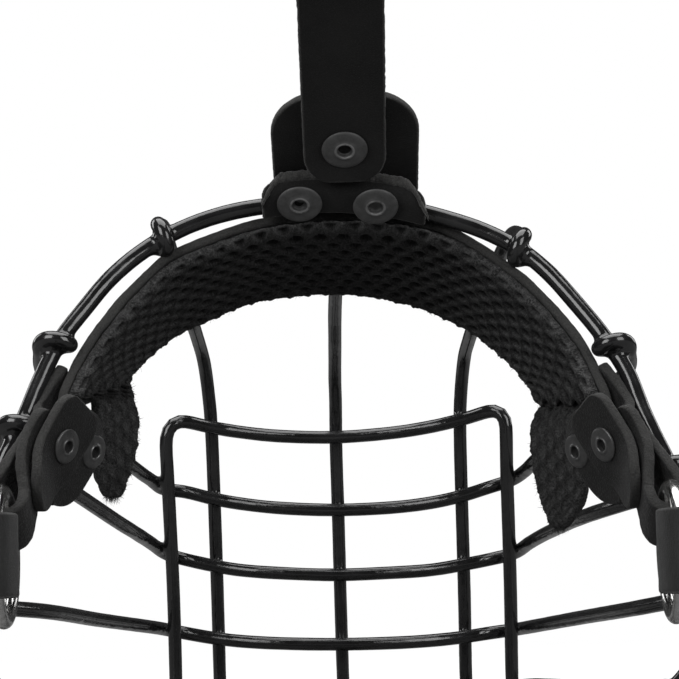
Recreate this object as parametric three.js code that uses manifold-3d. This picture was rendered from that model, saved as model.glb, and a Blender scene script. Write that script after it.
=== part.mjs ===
// Basket muzzle for a large dog: a cage of rubber-dipped steel wire on a
// closed rim wire, a leather and spacer-mesh nose pad, riveted leather tabs,
// two rings, a two-part neck strap with a roller buckle, and a head strap.
// Millimetres. +Y points to the dog's nose, +Z up, +X to its right, X = 0 is the middle.
// The origin is on the flat underside of the middle wire, the face it rests on.
import * as THREE from 'three';
import { mergeVertices } from 'three/addons/utils/BufferGeometryUtils.js';
import Module from 'manifold-3d';

// ---- driving dimensions ----
const WIRE_R = 2.1;           // corner radius of the six-sided wire section
const RIM_R = 1.95;           // rim wire radius
const WRAP_R = 4.4;           // wire centre to rim centre where a wire wraps it
const LEATHER = 2.5;          // leather thickness
const MESH = 3.0;             // spacer-mesh lining thickness
const HEAD_STRAP_W = 19.5;
const NECK_STRAP_W = 18.0;
const GAP = 0.35;             // gap between resting neighbours
const HOLE_R = 1.7;           // rivet hole
const SHANK_R = 1.35;         // rivet shank
const TOP_HEAD_R = 5.35;      // rivet heads on the top tab
const CHEEK_HEAD_R = 4.0;     // rivet heads on the cheek tabs
const STRAP_HEAD_R = 4.4;     // rivet heads on the strap loops and folds
const RING = { x: 72.5, y: -120.2, z: 55.2, R: 14, wireR: 1.75 };
const BUCKLE = { x: -72.6, yBar: -238, yRoller: -261, height: 26, wireR: 1.6, cornerR: 4 };
// dx, dz: offset of the cheek pieces; neckInset: shift of the neck strap to the middle
const LEFT = { name: 'left', sign: -1, dx: 0, dz: 0, neckInset: 2.5 };
const RIGHT = { name: 'right', sign: 1, dx: 0.4, dz: -3.4, neckInset: 2.1 };

const X_AXIS = new THREE.Vector3(1, 0, 0);
const Y_AXIS = new THREE.Vector3(0, 1, 0);
const Z_AXIS = new THREE.Vector3(0, 0, 1);

const LOOKS = {
  wire: { color: 0x0b0b0c, roughness: 0.25, metalness: 0.0 },
  leather: { color: 0x141414, roughness: 0.75, metalness: 0.0 },
  mesh: { color: 0x0e0e0f, roughness: 0.95, metalness: 0.0 },
  rivet: { color: 0x2a2a2c, roughness: 0.45, metalness: 0.3 },
  steel: { color: 0xb8babd, roughness: 0.22, metalness: 1.0 },
};

const group = new THREE.Group();
group.name = 'basket_muzzle';
const wasm = await Module();
wasm.setup();

// ---- helpers: points and meshes ----
const vector = ([x, y, z]) => new THREE.Vector3(x, y, z);
const vectors = (table) => table.map(vector);
const vectorsAtX = (x, table) => table.map(([y, z]) => new THREE.Vector3(x, y, z));
const moved = (point, direction, distance) => point.clone().addScaledVector(direction, distance);
const clamp01 = (value) => THREE.MathUtils.clamp(value, 0, 1);

// bare positions with shared vertices
function weld(geometry) {
  const bare = geometry.clone();
  bare.deleteAttribute('normal');
  bare.deleteAttribute('uv');
  return mergeVertices(bare, 1e-4);
}
function add(name, geometry, look) {
  const welded = weld(geometry);
  welded.computeVertexNormals();
  const mesh = new THREE.Mesh(welded, new THREE.MeshStandardMaterial(LOOKS[look]));
  mesh.name = name;
  group.add(mesh);
}
function toSolid(geometry) {
  const welded = weld(geometry);
  return new wasm.Manifold(new wasm.Mesh({
    numProp: 3,
    vertProperties: Float32Array.from(welded.attributes.position.array),
    triVerts: Uint32Array.from(welded.index.array),
  }));
}
function cut(geometry, ...tools) {
  const result = tools.reduce((rest, tool) => rest.subtract(toSolid(tool)), toSolid(geometry));
  const mesh = result.getMesh();
  const out = new THREE.BufferGeometry();
  const positions = Float32Array.from(mesh.vertProperties);
  out.setAttribute('position', new THREE.BufferAttribute(positions, 3));
  out.setIndex(Array.from(mesh.triVerts));
  return out;
}
// move every vertex to place(x, y, z)
function reshape(geometry, place) {
  const position = geometry.attributes.position;
  for (let i = 0; i < position.count; i++) {
    const point = place(position.getX(i), position.getY(i), position.getZ(i));
    position.setXYZ(i, point.x, point.y, point.z);
  }
  return geometry;
}
// turn a shape built along Y to a direction and move it to a place
function aim(geometry, at, direction) {
  const unit = direction.clone().normalize();
  geometry.applyQuaternion(new THREE.Quaternion().setFromUnitVectors(Y_AXIS, unit));
  return geometry.translate(at.x, at.y, at.z);
}

// ---- helpers: shapes ----
// round cutter, centred on a point
function hole(at, direction, length, radius = HOLE_R, sides = 12) {
  return aim(new THREE.CylinderGeometry(radius, radius, length, sides), at, direction);
}
// bar bent along an open run of points, with flat ends; flat sides square to the reference
function bar(points, radius, segments, reference, sides = 6) {
  const curve = new THREE.CatmullRomCurve3(points, false, 'catmullrom');
  const blank = new THREE.CylinderGeometry(1, 1, 1, sides, segments, false, Math.PI / sides);
  return reshape(blank, (x, y, z) => {
    const share = clamp01(y + 0.5);
    const tangent = curve.getTangent(share);
    const normal = moved(reference, tangent, -reference.dot(tangent)).normalize();
    const binormal = new THREE.Vector3().crossVectors(normal, tangent);
    return curve.getPoint(share)
      .addScaledVector(normal, x * radius)
      .addScaledVector(binormal, z * radius);
  });
}
// sheet of even thickness between two edge curves
function sheet(edgeA, edgeB, thickness, alongSteps) {
  const curveA = new THREE.CatmullRomCurve3(edgeA);
  const curveB = new THREE.CatmullRomCurve3(edgeB);
  const pointAt = (u, v) => curveA.getPoint(clamp01(u)).lerp(curveB.getPoint(clamp01(u)), clamp01(v));
  const step = 0.01;          // half-span of the slope differences
  return reshape(new THREE.BoxGeometry(1, 1, 1, alongSteps, 2, 1), (x, y, z) => {
    const u = x + 0.5;
    const v = y + 0.5;
    const alongU = pointAt(u + step, v).sub(pointAt(u - step, v));
    const alongV = pointAt(u, v + step).sub(pointAt(u, v - step));
    return pointAt(u, v).addScaledVector(alongU.cross(alongV).normalize(), z * thickness);
  });
}
// width direction at a share of the length: one vector, or eased between [share, vector] stops
function widthDirection(side, share) {
  if (!Array.isArray(side)) return side;
  const next = side.findIndex(([stop], i) => i > 0 && share <= stop);
  const [fromShare, from] = side[next - 1];
  const [toShare, to] = side[next];
  return from.clone().lerp(to, THREE.MathUtils.smoothstep(share, fromShare, toShare)).normalize();
}
// leather strap along a run of points; startRound and endRound are end corner radii
function strap(points, side, { width, steps, startRound = 0, endRound = 0, acrossSteps = 1 }) {
  const endShare = 0.18;      // share of the steps spent on each rounded end
  const minHalfWidth = 0.8;
  const curve = new THREE.CatmullRomCurve3(points, false, 'catmullrom');
  const length = curve.getLength();
  const endArc = (radius, s) => (radius / length) * (1 - Math.cos((s / endShare) * Math.PI / 2));
  const lengthShare = (s) => {
    if (startRound > 0 && s < endShare) return endArc(startRound, s);
    if (endRound > 0 && s > 1 - endShare) return 1 - endArc(endRound, 1 - s);
    const from = startRound > 0 ? endShare : 0;
    const to = endRound > 0 ? 1 - endShare : 1;
    const first = startRound / length;
    const last = 1 - endRound / length;
    return first + (last - first) * (s - from) / (to - from);
  };
  // narrowing at a distance from an end; 0.999 keeps the start of the round from closing up
  const narrowing = (distance, radius) => {
    if (distance >= radius) return 0;
    return radius - Math.sqrt(Math.max(0, radius ** 2 - (radius - distance) ** 2)) * 0.999;
  };
  return reshape(new THREE.BoxGeometry(1, 1, 1, steps, acrossSteps, 1), (x, y, z) => {
    const share = clamp01(lengthShare(x + 0.5));
    const halfWidth = Math.max(minHalfWidth, width / 2
      - narrowing(share * length, startRound) - narrowing((1 - share) * length, endRound));
    const tangent = curve.getTangentAt(share);
    const wide = widthDirection(side, share);
    const across = moved(wide, tangent, -wide.dot(tangent)).normalize();
    const normal = new THREE.Vector3().crossVectors(tangent, across);
    return curve.getPointAt(share)
      .addScaledVector(across, y * 2 * halfWidth)
      .addScaledVector(normal, z * LEATHER);
  });
}
// rivet: dimpled head seated on a point, shank behind it
function rivet(seat, out, headR, shank, sides = 12) {
  // [radius, height], from the foot of the shank to the floor of the dimple
  const profile = [
    [0, -shank], [SHANK_R, -shank], [SHANK_R, 0], [headR, 0], [headR, 0.45],
    [headR * 0.7, 1.1], [1.75, 1.05], [1.5, 0.35], [0, 0.35],
  ].map(([x, y]) => new THREE.Vector2(x, y));
  return aim(new THREE.LatheGeometry(profile, sides), seat, out);
}
// arc in a level plane, angles in degrees from +X towards +Y
function levelArc(x, y, z, radius, from, to, steps) {
  return Array.from({ length: steps + 1 }, (_, i) => {
    const angle = THREE.MathUtils.degToRad(from + (to - from) * i / steps);
    return new THREE.Vector3(x + Math.cos(angle) * radius, y + Math.sin(angle) * radius, z);
  });
}

// ---- rim ----
// centre line [x, y, z], closed: from under the chin up the left, over the top, down the right
const RIM = [
  [-14,-39.4,6], [-34,-50.5,8.4], [-54,-63.8,11.6], [-70,-77,16.6], [-80,-89,27],
  [-84,-97,40.5], [-82.6,-100.5,55.5], [-78.6,-100.3,68.5], [-74,-98.3,79.7],
  [-70.5,-94.8,87.8], [-67.5,-91.2,96.1], [-63.3,-87.1,105.5], [-58,-83.8,113],
  [-51.5,-80.1,121.2], [-43.8,-77.2,127.8], [-34.3,-74.6,133.3], [-23.4,-72.9,136.9],
  [-10.1,-71.9,138.7], [3.2,-71.7,138.8], [16.4,-72.1,137.2], [27.1,-73.2,134.2],
  [37.7,-74.9,130], [45.8,-76.9,125], [52,-79.3,119.1], [57.8,-82.5,111.4],
  [63.7,-86.1,102.7], [68.2,-89.7,94.3], [71.4,-94.3,83.4], [75,-98.4,73.6],
  [79.7,-100.4,63], [83.2,-100.4,51.5], [84.2,-97,38.5], [80,-88.5,25], [70,-76.5,15.6],
  [54,-63.8,11.2], [34,-50.5,8.4], [14,-39.4,6], [0,-38,5.95],
];
const RIM_MIDDLE_Z = 70;      // height that outward directions point away from
const RIM_SAMPLES = 900;      // stations searched for the nearest rim point

const rimCurve = new THREE.CatmullRomCurve3(vectors(RIM), true, 'centripetal');
add('rim_wire', new THREE.TubeGeometry(rimCurve, 64, RIM_R, 6, true), 'wire');

// nearest rim point to a target, with outward and rearward directions square to the rim
function rimFrame(target) {
  let best = { distance: Infinity };
  for (let i = 0; i < RIM_SAMPLES; i++) {
    const share = i / RIM_SAMPLES;
    const point = rimCurve.getPointAt(share);
    const distance = point.distanceToSquared(target);
    if (distance < best.distance) best = { share, point, distance };
  }
  const { share, point } = best;
  const tangent = rimCurve.getTangentAt(share);
  const outward = point.clone().sub(new THREE.Vector3(0, point.y, RIM_MIDDLE_Z));
  outward.addScaledVector(tangent, -outward.dot(tangent)).normalize();
  const rearward = new THREE.Vector3().crossVectors(tangent, outward);
  if (rearward.y > 0) rearward.negate();
  return { point, outward, rearward };
}
// wrapped end of a wire: an arc round the rim, 0 degrees outward and 90 rearward
function wrap(target, from, to, steps) {
  const { point, outward, rearward } = rimFrame(vector(target));
  return Array.from({ length: steps + 1 }, (_, i) => {
    const angle = THREE.MathUtils.degToRad(from + (to - from) * i / steps);
    return moved(point, outward, Math.cos(angle) * WRAP_R)
      .addScaledVector(rearward, Math.sin(angle) * WRAP_R);
  });
}

// ---- lengthwise wires ----
const BASE = WIRE_R * Math.cos(Math.PI / 6);   // puts the underside flats on z = 0
// each run [x, y, z]: over the nose, down the front, back under the chin
const MIDDLE_RUN = [
  [3,-69.2,137.9], [2.6,-55,136.4], [2,-30,131],
  [1,4.1,121.5], [0.7,19.9,114.9], [0.5,30.5,110.3], [0.3,39,105.3], [0.3,44.6,100],
  [0.2,47.6,95.8], [0,51.4,85.8], [0,55.3,65.5], [-0.1,59.7,42.1], [-0.1,63.9,20.1],
  [0,64.2,12], [0,62.2,6.4], [0,57.4,2.8], [0,52,BASE + 0.05], [0,47,BASE], [0,30,BASE],
  [0,0,BASE], [0,-20,BASE],
];
const LEFT_NOSE_RUN = [
  [-40.2,-62,134.6], [-39,-25,125.6],
  [-37.5,16.8,115.8], [-36.7,27.3,111.2], [-36.3,33.9,106], [-36,37.5,100.6],
  [-35.8,39.4,96.4], [-35.7,42.5,86.5], [-35.7,46.7,66.4], [-35.8,51.5,43.3], [-36,56,21.5],
  [-36,56.4,12], [-36,54.6,6.4], [-36,49.6,2.8], [-36,44.6,BASE + 0.05], [-36,39,BASE],
  [-36,20,BASE], [-36,-10,BASE], [-36,-36,BASE + 0.4],
];
const RIGHT_NOSE_RUN = [
  [44.8,-62,130.5], [40.5,-25,121.8],
  [37.7,18.7,112.2], [37.1,27.6,108.9], [36.6,34.2,103.7], [36.2,37.8,98.3],
  [36,39.6,94.1], [35.9,43,84.2], [35.9,46.5,64.1], [35.9,50.6,41.1], [35.7,54.6,19.3],
  [36,55.2,12], [36,53.6,6.4], [36,48.6,2.8], [36,43.6,BASE + 0.05], [36,38,BASE],
  [36,20,BASE], [36,-10,BASE], [36,-36,BASE + 0.4],
];
function lengthwiseWire(name, topEnd, run, bottomTarget) {
  const points = [...topEnd, ...vectors(run), ...wrap(bottomTarget, -25, 70, 3)];
  add(name, bar(points, WIRE_R, 50, X_AXIS), 'wire');
}
const topWrap = (target) => wrap(target, 80, -35, 4);
lengthwiseWire('middle_wire', [], MIDDLE_RUN, [0, -38, 5.95]);
lengthwiseWire('left_nose_wire', topWrap([-38.8, -75.7, 131.2]), LEFT_NOSE_RUN, [-36, -51.5, 8.6]);
lengthwiseWire('right_nose_wire', topWrap([44.5, -76.6, 125.9]), RIGHT_NOSE_RUN, [36, -51.5, 8.6]);

// ---- front frame wire: an arch whose legs bend back under the chin ----
// [x, y, z]: up the left leg, across the top bar, down the right leg
const FRAME_ARCH = [
  [-47.5,38.4,23.4], [-47.3,34,46.6], [-47.5,30.2,66.3], [-47.7,27.4,80.3], [-47.8,26.1,87],
  [-47.3,25.5,90.9], [-45.5,25.8,93.3], [-42.7,27.2,93.9], [-35.8,35.1,92.6],
  [-27.5,39.7,91.2], [-16.1,43.5,89.9], [-0.2,45.4,89.2], [15.8,43.6,89.8], [27.3,40.1,91],
  [37.1,34.6,92.7], [43.9,27.1,94.1], [46.7,25.8,93.5], [48,25.4,91], [48.1,25.9,86.8],
  [48,27.8,77.3], [48.1,30.5,63.3], [48.2,34.3,43.6], [48,38.8,20.4],
];
// [x, y, z]: lower part of the left leg, rear to front
const LEFT_LEG = [
  [-56,-50,11.2], [-52.2,-30,11.2], [-49.5,0,10.8], [-48.2,26,10.4], [-47.8,33,11.4],
  [-47.6,37.5,15],
];
const rightLeg = LEFT_LEG.map(([x, y, z]) => [-x + 0.4, y + 0.6, z]).reverse();
add('front_frame_wire', bar([
  ...wrap([-61.5, -69.8, 13.6], 70, -25, 3),
  ...vectors([...LEFT_LEG, ...FRAME_ARCH, ...rightLeg]),
  ...wrap([61.5, -69.8, 13.2], -25, 70, 3),
], WIRE_R, 68, X_AXIS), 'wire');

// ---- wires from cheek to cheek round the front ----
// each run [x, y, z], left to right
const UPPER_CHEEK_RUN = [
  [-68.8,-72,98.6], [-64.4,-30,88.8], [-55,13,79.9], [-52.4,26.3,77.7], [-49.5,34.7,75.3],
  [-43.5,36,74.4], [-36.1,40.6,72.4], [-28.2,44.5,70.8], [-16.8,48.2,69.3],
  [-0.9,50.2,68.3], [15.1,48.5,68.4], [26.7,45,69.3], [35.8,40.7,70.9], [43.6,35.9,73],
  [49.8,35.2,74.8], [53.2,26.5,77], [55.4,13.1,79.4], [64.8,-30,87.6], [70.2,-72,95],
];
const MIDDLE_CHEEK_RUN = [
  [-77.2,-84,80.2], [-69.5,-60,75], [-58.7,-13.1,65.5], [-55.9,1.2,63.1],
  [-52.9,25.7,60.1], [-49.5,38.7,57], [-44.2,39.7,55.2], [-36.8,44.3,53.3],
  [-28.9,48.1,51.7], [-17.5,51.8,50.5], [-1.5,53.8,49.5], [14.6,52.2,49.6], [26.1,48.7,50],
  [35.2,44.5,51.2], [43.1,39.8,52.5], [50.2,40,54.1], [53.8,27,56.8], [57.7,1.6,59.4],
  [63.5,-41.9,62.3], [80.4,-84,67.4],
];
const LOWER_CHEEK_RUN = [
  [-72.3,-61,42.7], [-63.5,-10.4,39.4], [-53.4,31.7,36.4], [-49.8,42.8,35.3],
  [-45,43.8,34.2], [-37.5,48.3,32.5], [-29.6,52,31.2], [-18.2,55.7,30.1], [-2.1,57.6,29.3],
  [14,56,29.2], [25.5,52.6,29.6], [34.7,48.5,30.4], [42.5,43.9,31.5], [50,44.1,32.3],
  [53.8,33,33.2], [63.3,-8,36], [72.8,-59.6,39],
];
const CHIN_RUN = [
  [-73.2,-62,21.8], [-61,-10,19.6], [-55.4,28,17.2], [-52.8,39.4,16.6], [-46.8,46.2,16],
  [-38,49.6,15.2], [-28,53.2,14.4], [-15,57.6,13.6], [0,59.3,13.2], [15,57.6,13.6],
  [28,53.2,14.4], [38,49,15.2], [47.4,46.2,16], [53.4,39.8,16.6], [56,28,17],
  [61.3,-10,19], [73.2,-62,20.8],
];
const UNDERSIDE_RUN = [[-53.2,0,6.05], [-20,0.6,6.05], [20,0.6,6.05], [53.2,0,6.05]];

function crossWire(name, leftTarget, run, rightTarget, steps) {
  const points = [
    ...wrap(leftTarget, 65, -30, 3), ...vectors(run), ...wrap(rightTarget, -30, 65, 3),
  ];
  add(name, bar(points, WIRE_R, steps, Z_AXIS), 'wire');
}
crossWire('upper_cheek_wire', [-64.6, -88, 102.6], UPPER_CHEEK_RUN, [66.2, -88, 98], 42);
crossWire('middle_cheek_wire', [-72.6, -96.8, 82.5], MIDDLE_CHEEK_RUN, [76.8, -99.6, 69.2], 44);
crossWire('lower_cheek_wire', [-83.6, -98.5, 44], LOWER_CHEEK_RUN, [83.8, -98.3, 42], 42);
crossWire('chin_wire', [-75.8, -83.4, 21.4], CHIN_RUN, [75.6, -82.6, 20], 42);
// short wire between the frame legs and the lengthwise wires
add('underside_cross_wire', bar(vectors(UNDERSIDE_RUN), WIRE_R, 6, Z_AXIS), 'wire');

// ---- nose pad ----
// edges [x, y, z], left to right: rear on the outer leather face, front on the inner mesh face
const PAD_REAR = [
  [-63.3,-92.5,94], [-59.1,-87.5,103.6], [-51.8,-83.1,114.1], [-47.3,-80.1,119.5],
  [-39.1,-76.9,127.2], [-28.3,-74.4,132], [-16.3,-72.3,135.7], [3.8,-70.9,137.2],
  [23.6,-71.6,134.5], [34.2,-73.1,129.8], [45.5,-78.2,120.5], [51,-80.6,114.7],
  [56.3,-83.9,107.5], [60.5,-86.7,100.7], [64.1,-92.1,90],
];
const PAD_FRONT = [
  [-49.8,-55.7,97.4], [-48,-50.1,101.6], [-42.2,-42.7,107.7], [-37.1,-38.1,111.8],
  [-29.9,-33.4,115.2], [-20.9,-29.8,119.2], [-9.2,-28,120.9], [5.1,-27,121.1],
  [20.6,-27.6,117.7], [28.2,-29.3,114.3], [36.8,-34.7,108.5], [40.7,-39.3,104.4],
  [44.3,-43.9,100], [47.2,-49.4,95.4], [49.3,-55,90.6],
];
// loose lower ends of the mesh lining [x, y, z]: the left one upwards, the right one downwards
const LEFT_FLAP = {
  rear: [[-55.1,-60.8,69.7], [-56.7,-65.2,73.7], [-56.8,-69.9,79.5], [-56.3,-73.5,85.3],
    [-56,-77.2,91.7]],
  front: [[-53.5,-54.8,69.7], [-51.3,-53.3,74.6], [-49.8,-51.9,80.3], [-48.9,-51.6,87.7],
    [-49.9,-53.2,93.4]],
};
const RIGHT_FLAP = {
  rear: [[60.4,-81.8,87.7], [57.8,-79.1,81.2], [58.5,-75.1,71.9], [58.3,-70.4,65],
    [54.4,-63.7,59.1]],
  front: [[51.3,-53.7,88.7], [49.2,-52.2,83.4], [49.5,-50.1,73.5], [51.1,-50.3,65.6],
    [53.1,-53.6,59]],
};
const PAD = {
  axisZ: 62, xShare: 0.9,              // outward directions fan out from this height
  rearDrop: 0.9,                       // rear edge below its measured face
  liningDrop: 0.35,                    // extra room between leather and lining
  liningRear: 0.12, liningFront: 1.02, // lining edges, as shares from rear to front edge
  flapOut: 0.6,
};
// move a point out from the middle of the muzzle, level in y
function movedOut(point, distance) {
  const out = new THREE.Vector3(point.x * PAD.xShare, 0, point.z - PAD.axisZ).normalize();
  return moved(point, out, distance);
}
const padRear = vectors(PAD_REAR).map((p) => movedOut(p, -LEATHER / 2 - PAD.rearDrop));
const padFront = vectors(PAD_FRONT).map((p) => movedOut(p, MESH + GAP + LEATHER / 2));
add('nose_pad_leather', sheet(padRear, padFront, LEATHER, 26), 'leather');

// one edge of the lining: left flap, the run under the leather, right flap
function liningEdge(key, share) {
  const depth = (LEATHER + MESH) / 2 + GAP + PAD.liningDrop;
  const flap = (table) => vectors(table).map((p) => movedOut(p, PAD.flapOut));
  const under = padRear.map((rear, i) => movedOut(rear.clone().lerp(padFront[i], share), -depth));
  return [...flap(LEFT_FLAP[key]), ...under, ...flap(RIGHT_FLAP[key])];
}
const liningRear = liningEdge('rear', PAD.liningRear);
const liningFront = liningEdge('front', PAD.liningFront);
add('nose_pad_mesh_lining', sheet(liningRear, liningFront, MESH, 40), 'mesh');

// ---- top tab ----
const HEAD_X = 4.6;           // the head strap sits a little right of the middle
const RIVET_SEAT = LEATHER / 2 + GAP;                        // strap middle to rivet head
const TAB_OUT = new THREE.Vector3(0, -0.643, -0.766);        // out of the inner tab face
const HEAD_OUT = new THREE.Vector3(0, -0.64, -0.77);         // out of the head strap face
const HEAD_RIVET = new THREE.Vector3(HEAD_X, -88.75, 149.45);
const TOP_RIVETS = [
  { name: 'top_rivet_left', at: new THREE.Vector3(-6, -77, 138.2), lift: 0.7, shank: 12.3 },
  { name: 'top_rivet_right', at: new THREE.Vector3(12.4, -77, 137.2), lift: 1.4, shank: 13 },
];
// [y, z] along the middle of each leather
const INNER_TAB = [[-73,134.9], [-75.7,137.2], [-77.9,139.6], [-78.7,142], [-78.6,143.6]];
const OUTER_TAB = [
  [-67.4,142], [-71.2,144.2], [-75.4,146.6], [-81,149.6], [-86.9,152.5], [-92,156.6],
  [-96,160.2],
];
const tabHoles = (length) => TOP_RIVETS.map(({ at }) => hole(at, TAB_OUT, length));

// drops away from x = -2 to follow the crown of the rim
const innerTab = reshape(
  strap(vectorsAtX(4.0, INNER_TAB), X_AXIS, { width: 39, steps: 10, endRound: 3, acrossSteps: 8 }),
  (x, y, z) => new THREE.Vector3(x, y, z - 0.0062 * (x + 2) ** 2),
);
add('top_tab_inner_leather', cut(innerTab, ...tabHoles(12)), 'leather');
const outerTab = strap(vectorsAtX(4.8, OUTER_TAB), X_AXIS, { width: 35, steps: 26, endRound: 11 });
add('top_tab_outer_leather',
  cut(outerTab, ...tabHoles(30), hole(HEAD_RIVET, HEAD_OUT, 14)), 'leather');
for (const { name, at, lift, shank } of TOP_RIVETS) {
  add(name, rivet(moved(at, TAB_OUT, RIVET_SEAT + lift), TAB_OUT, TOP_HEAD_R, shank), 'rivet');
}
add('head_strap_rivet',
  rivet(moved(HEAD_RIVET, HEAD_OUT, RIVET_SEAT), HEAD_OUT, TOP_HEAD_R, 7.4), 'rivet');

// ---- head strap, with its end folded into a loop for the neck strap ----
// [y, z] from the top tab back to the loop and round it
const HEAD_STRAP = [
  [-81.7,142.3], [-85.1,146], [-88.8,149.5], [-99.5,158], [-111.5,166.9], [-122.5,175.7],
  [-140,187], [-165,197], [-190,200.6], [-215,199.8], [-235,196], [-250,190], [-261,182],
  [-264,174], [-257,169.5], [-248,173.5], [-240,181.5], [-231,189.6], [-221,194.6],
  [-209,197],
];
const LOOP_RIVET = new THREE.Vector3(HEAD_X, -219, 196.9);
const LOOP_OUT = new THREE.Vector3(0, 0.13, 1).normalize();
const headStrap = strap(vectorsAtX(HEAD_X, HEAD_STRAP), X_AXIS,
  { width: HEAD_STRAP_W, steps: 48, startRound: 7, endRound: 6 });
add('head_strap',
  cut(headStrap, hole(HEAD_RIVET, HEAD_OUT, 8, 1.85), hole(LOOP_RIVET, LOOP_OUT, 16)), 'leather');
add('head_strap_loop_rivet',
  rivet(moved(LOOP_RIVET, LOOP_OUT, 5.3), LOOP_OUT, STRAP_HEAD_R, 9.2), 'rivet');

// ---- cheek tabs and rings: given for the right side before its offset ----
const REAR_RIVET = [61.12, -103.07, 79.67];
const FRONT_RIVET = [58.5, -90.6, 80.2];
// [x, y, z], top to bottom
const INNER_TONGUE = [
  [56,-99.6,89.1], [61,-103,79.8], [63.9,-105.6,73.6], [64.9,-108,67.4], [64.5,-109.4,62.6],
];
const OUTER_TONGUE = [[53.4,-88,89.6], [58.9,-91.1,79.6], [64,-94.7,70.2], [67.4,-97.2,64.6]];
// [x, y, z]: down from the end of the pad, and back up inside after the ring
const CHEEK_DOWN = [[63.5,-84,87.2], [65.9,-90.4,83.9], [68.8,-98.4,79.8], [71.8,-105.8,74]];
const CHEEK_UP = [[67.6,-107.6,75.6], [64.95,-104.6,82.7], [62.9,-103.1,86.4]];

// the part of the cheek strap that folds round the ring
function cheekFold() {
  const radius = RING.wireR + 0.95 + LEATHER / 2;
  const rise = { y: 0.6428, z: 0.766 };     // forward and up
  const toFold = RING.R - 2.7;              // ring centre to fold centre, along rise
  const at = (x, up) => [
    x, RING.y + (toFold + up) * rise.y, RING.z + (toFold + up) * rise.z,
  ];
  const arc = [0, 1, 2, 3, 4].map((i) => {
    const angle = i * Math.PI / 4;
    return at(RING.x + Math.cos(angle) * radius, -Math.sin(angle) * radius);
  });
  return [at(RING.x + radius - 1, 4.8), ...arc, at(68.3, 4.4)];
}
function addCheek({ name, sign, dx, dz }) {
  const place = ([x, y, z]) => new THREE.Vector3(sign * (x + dx), y, z + dz);
  const direction = (x, y, z) => new THREE.Vector3(sign * x, y, z).normalize();
  const out = direction(-0.82, -0.512, -0.256);      // out of the tongues, to the dog's cheek
  const padWide = direction(0.21, -0.96, -0.19);     // width directions
  const tongueWide = direction(0.313, -0.775, 0.549);
  const ringWide = direction(0, -0.766, 0.643);
  const rear = place(REAR_RIVET);
  const front = place(FRONT_RIVET);

  const cheek = strap([...CHEEK_DOWN, ...cheekFold(), ...CHEEK_UP].map(place),
    [[0, padWide], [0.38, ringWide], [0.68, ringWide], [0.92, tongueWide], [1, tongueWide]],
    { width: 13, steps: 44, endRound: 4 });
  add(`${name}_cheek_strap`, cut(cheek, hole(moved(rear, out, -3), out, 4.4)), 'leather');

  const inner = strap(INNER_TONGUE.map(place),
    [[0, tongueWide], [0.45, tongueWide], [0.8, ringWide], [1, ringWide]],
    { width: 18, steps: 24, startRound: 6, endRound: 8.8 });
  add(`${name}_inner_tongue`, cut(inner, hole(rear, out, 4)), 'leather');

  const outer = strap(OUTER_TONGUE.map(place), tongueWide,
    { width: 15.6, steps: 20, startRound: 6, endRound: 8.3 });
  add(`${name}_outer_tongue`, cut(outer, hole(front, out, 4)), 'leather');

  const addRivet = (label, at, shank) => {
    const seat = moved(at, out, LEATHER / 2 + 0.45);
    add(`${name}_${label}_rivet`, rivet(seat, out, CHEEK_HEAD_R, shank, 10), 'rivet');
  };
  addRivet('front', front, 4.6);
  addRivet('rear', rear, 7.0);

  const circle = Array.from({ length: 24 }, (_, i) => {
    const angle = i / 24 * Math.PI * 2;
    return place([RING.x, RING.y + RING.R * Math.cos(angle), RING.z + RING.R * Math.sin(angle)]);
  });
  const ringCurve = new THREE.CatmullRomCurve3(circle, true);
  add(`${name}_ring`, new THREE.TubeGeometry(ringCurve, 24, RING.wireR, 6, true), 'steel');
}
addCheek(LEFT);
addCheek(RIGHT);

// ---- neck strap ----
const RING_RIVET_Y = -159;
const BUCKLE_RIVET_Y = -217;
// [distance from the middle before the inset, y, rise]
const NECK_TO_RING = [[75.1,-170], [75.1,-158], [74.6,-147], [72.3,-138]];
const NECK_FROM_RING = [[78.6,-139], [78.2,-150], [78.2,-170]];
const NECK_TO_BUCKLE = [[78.2,-190], [78.2,-212], [78.2,-228]];
const NECK_FROM_BUCKLE = [[72.6,-232], [74.8,-224], [75.1,-216], [75.1,-209]];
const NECK_FREE_END = [
  [78.2,-195], [77.6,-220,-0.2], [75.6,-245,-0.8], [72.4,-270,-1.8], [68,-295,-3.2],
  [62.4,-320,-5],
];
const PUNCHED_HOLES = [
  [77.9,-212,-0.2], [76.7,-232,-0.5], [74.5,-254,-1.1], [71.4,-276,-2.1], [67.2,-298,-3.4],
];
const neckPoint = (side) => ([x, y, rise = 0]) => (
  new THREE.Vector3(side.sign * (x - side.neckInset), y, RING.z + side.dz + rise));

// short inner end, fold round the ring, start of the outer run
function neckStart(side) {
  const place = neckPoint(side);
  const from = side.sign < 0 ? 0 : 180;
  const fold = levelArc(side.sign * (RING.x + side.dx), RING.y - RING.R + 3.8,
    RING.z + side.dz, 3.6, from, 180 - from, 8);
  return [...NECK_TO_RING.map(place), ...fold, ...NECK_FROM_RING.map(place)];
}
const neckRivetHole = (side, y) => hole(neckPoint(side)([76.6, y]), X_AXIS, 16);
function addNeckRivet(name, side, y) {
  const out = new THREE.Vector3(side.sign, 0, 0);
  add(name, rivet(neckPoint(side)([79.8, y]), out, STRAP_HEAD_R, 6.6), 'rivet');
}

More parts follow.
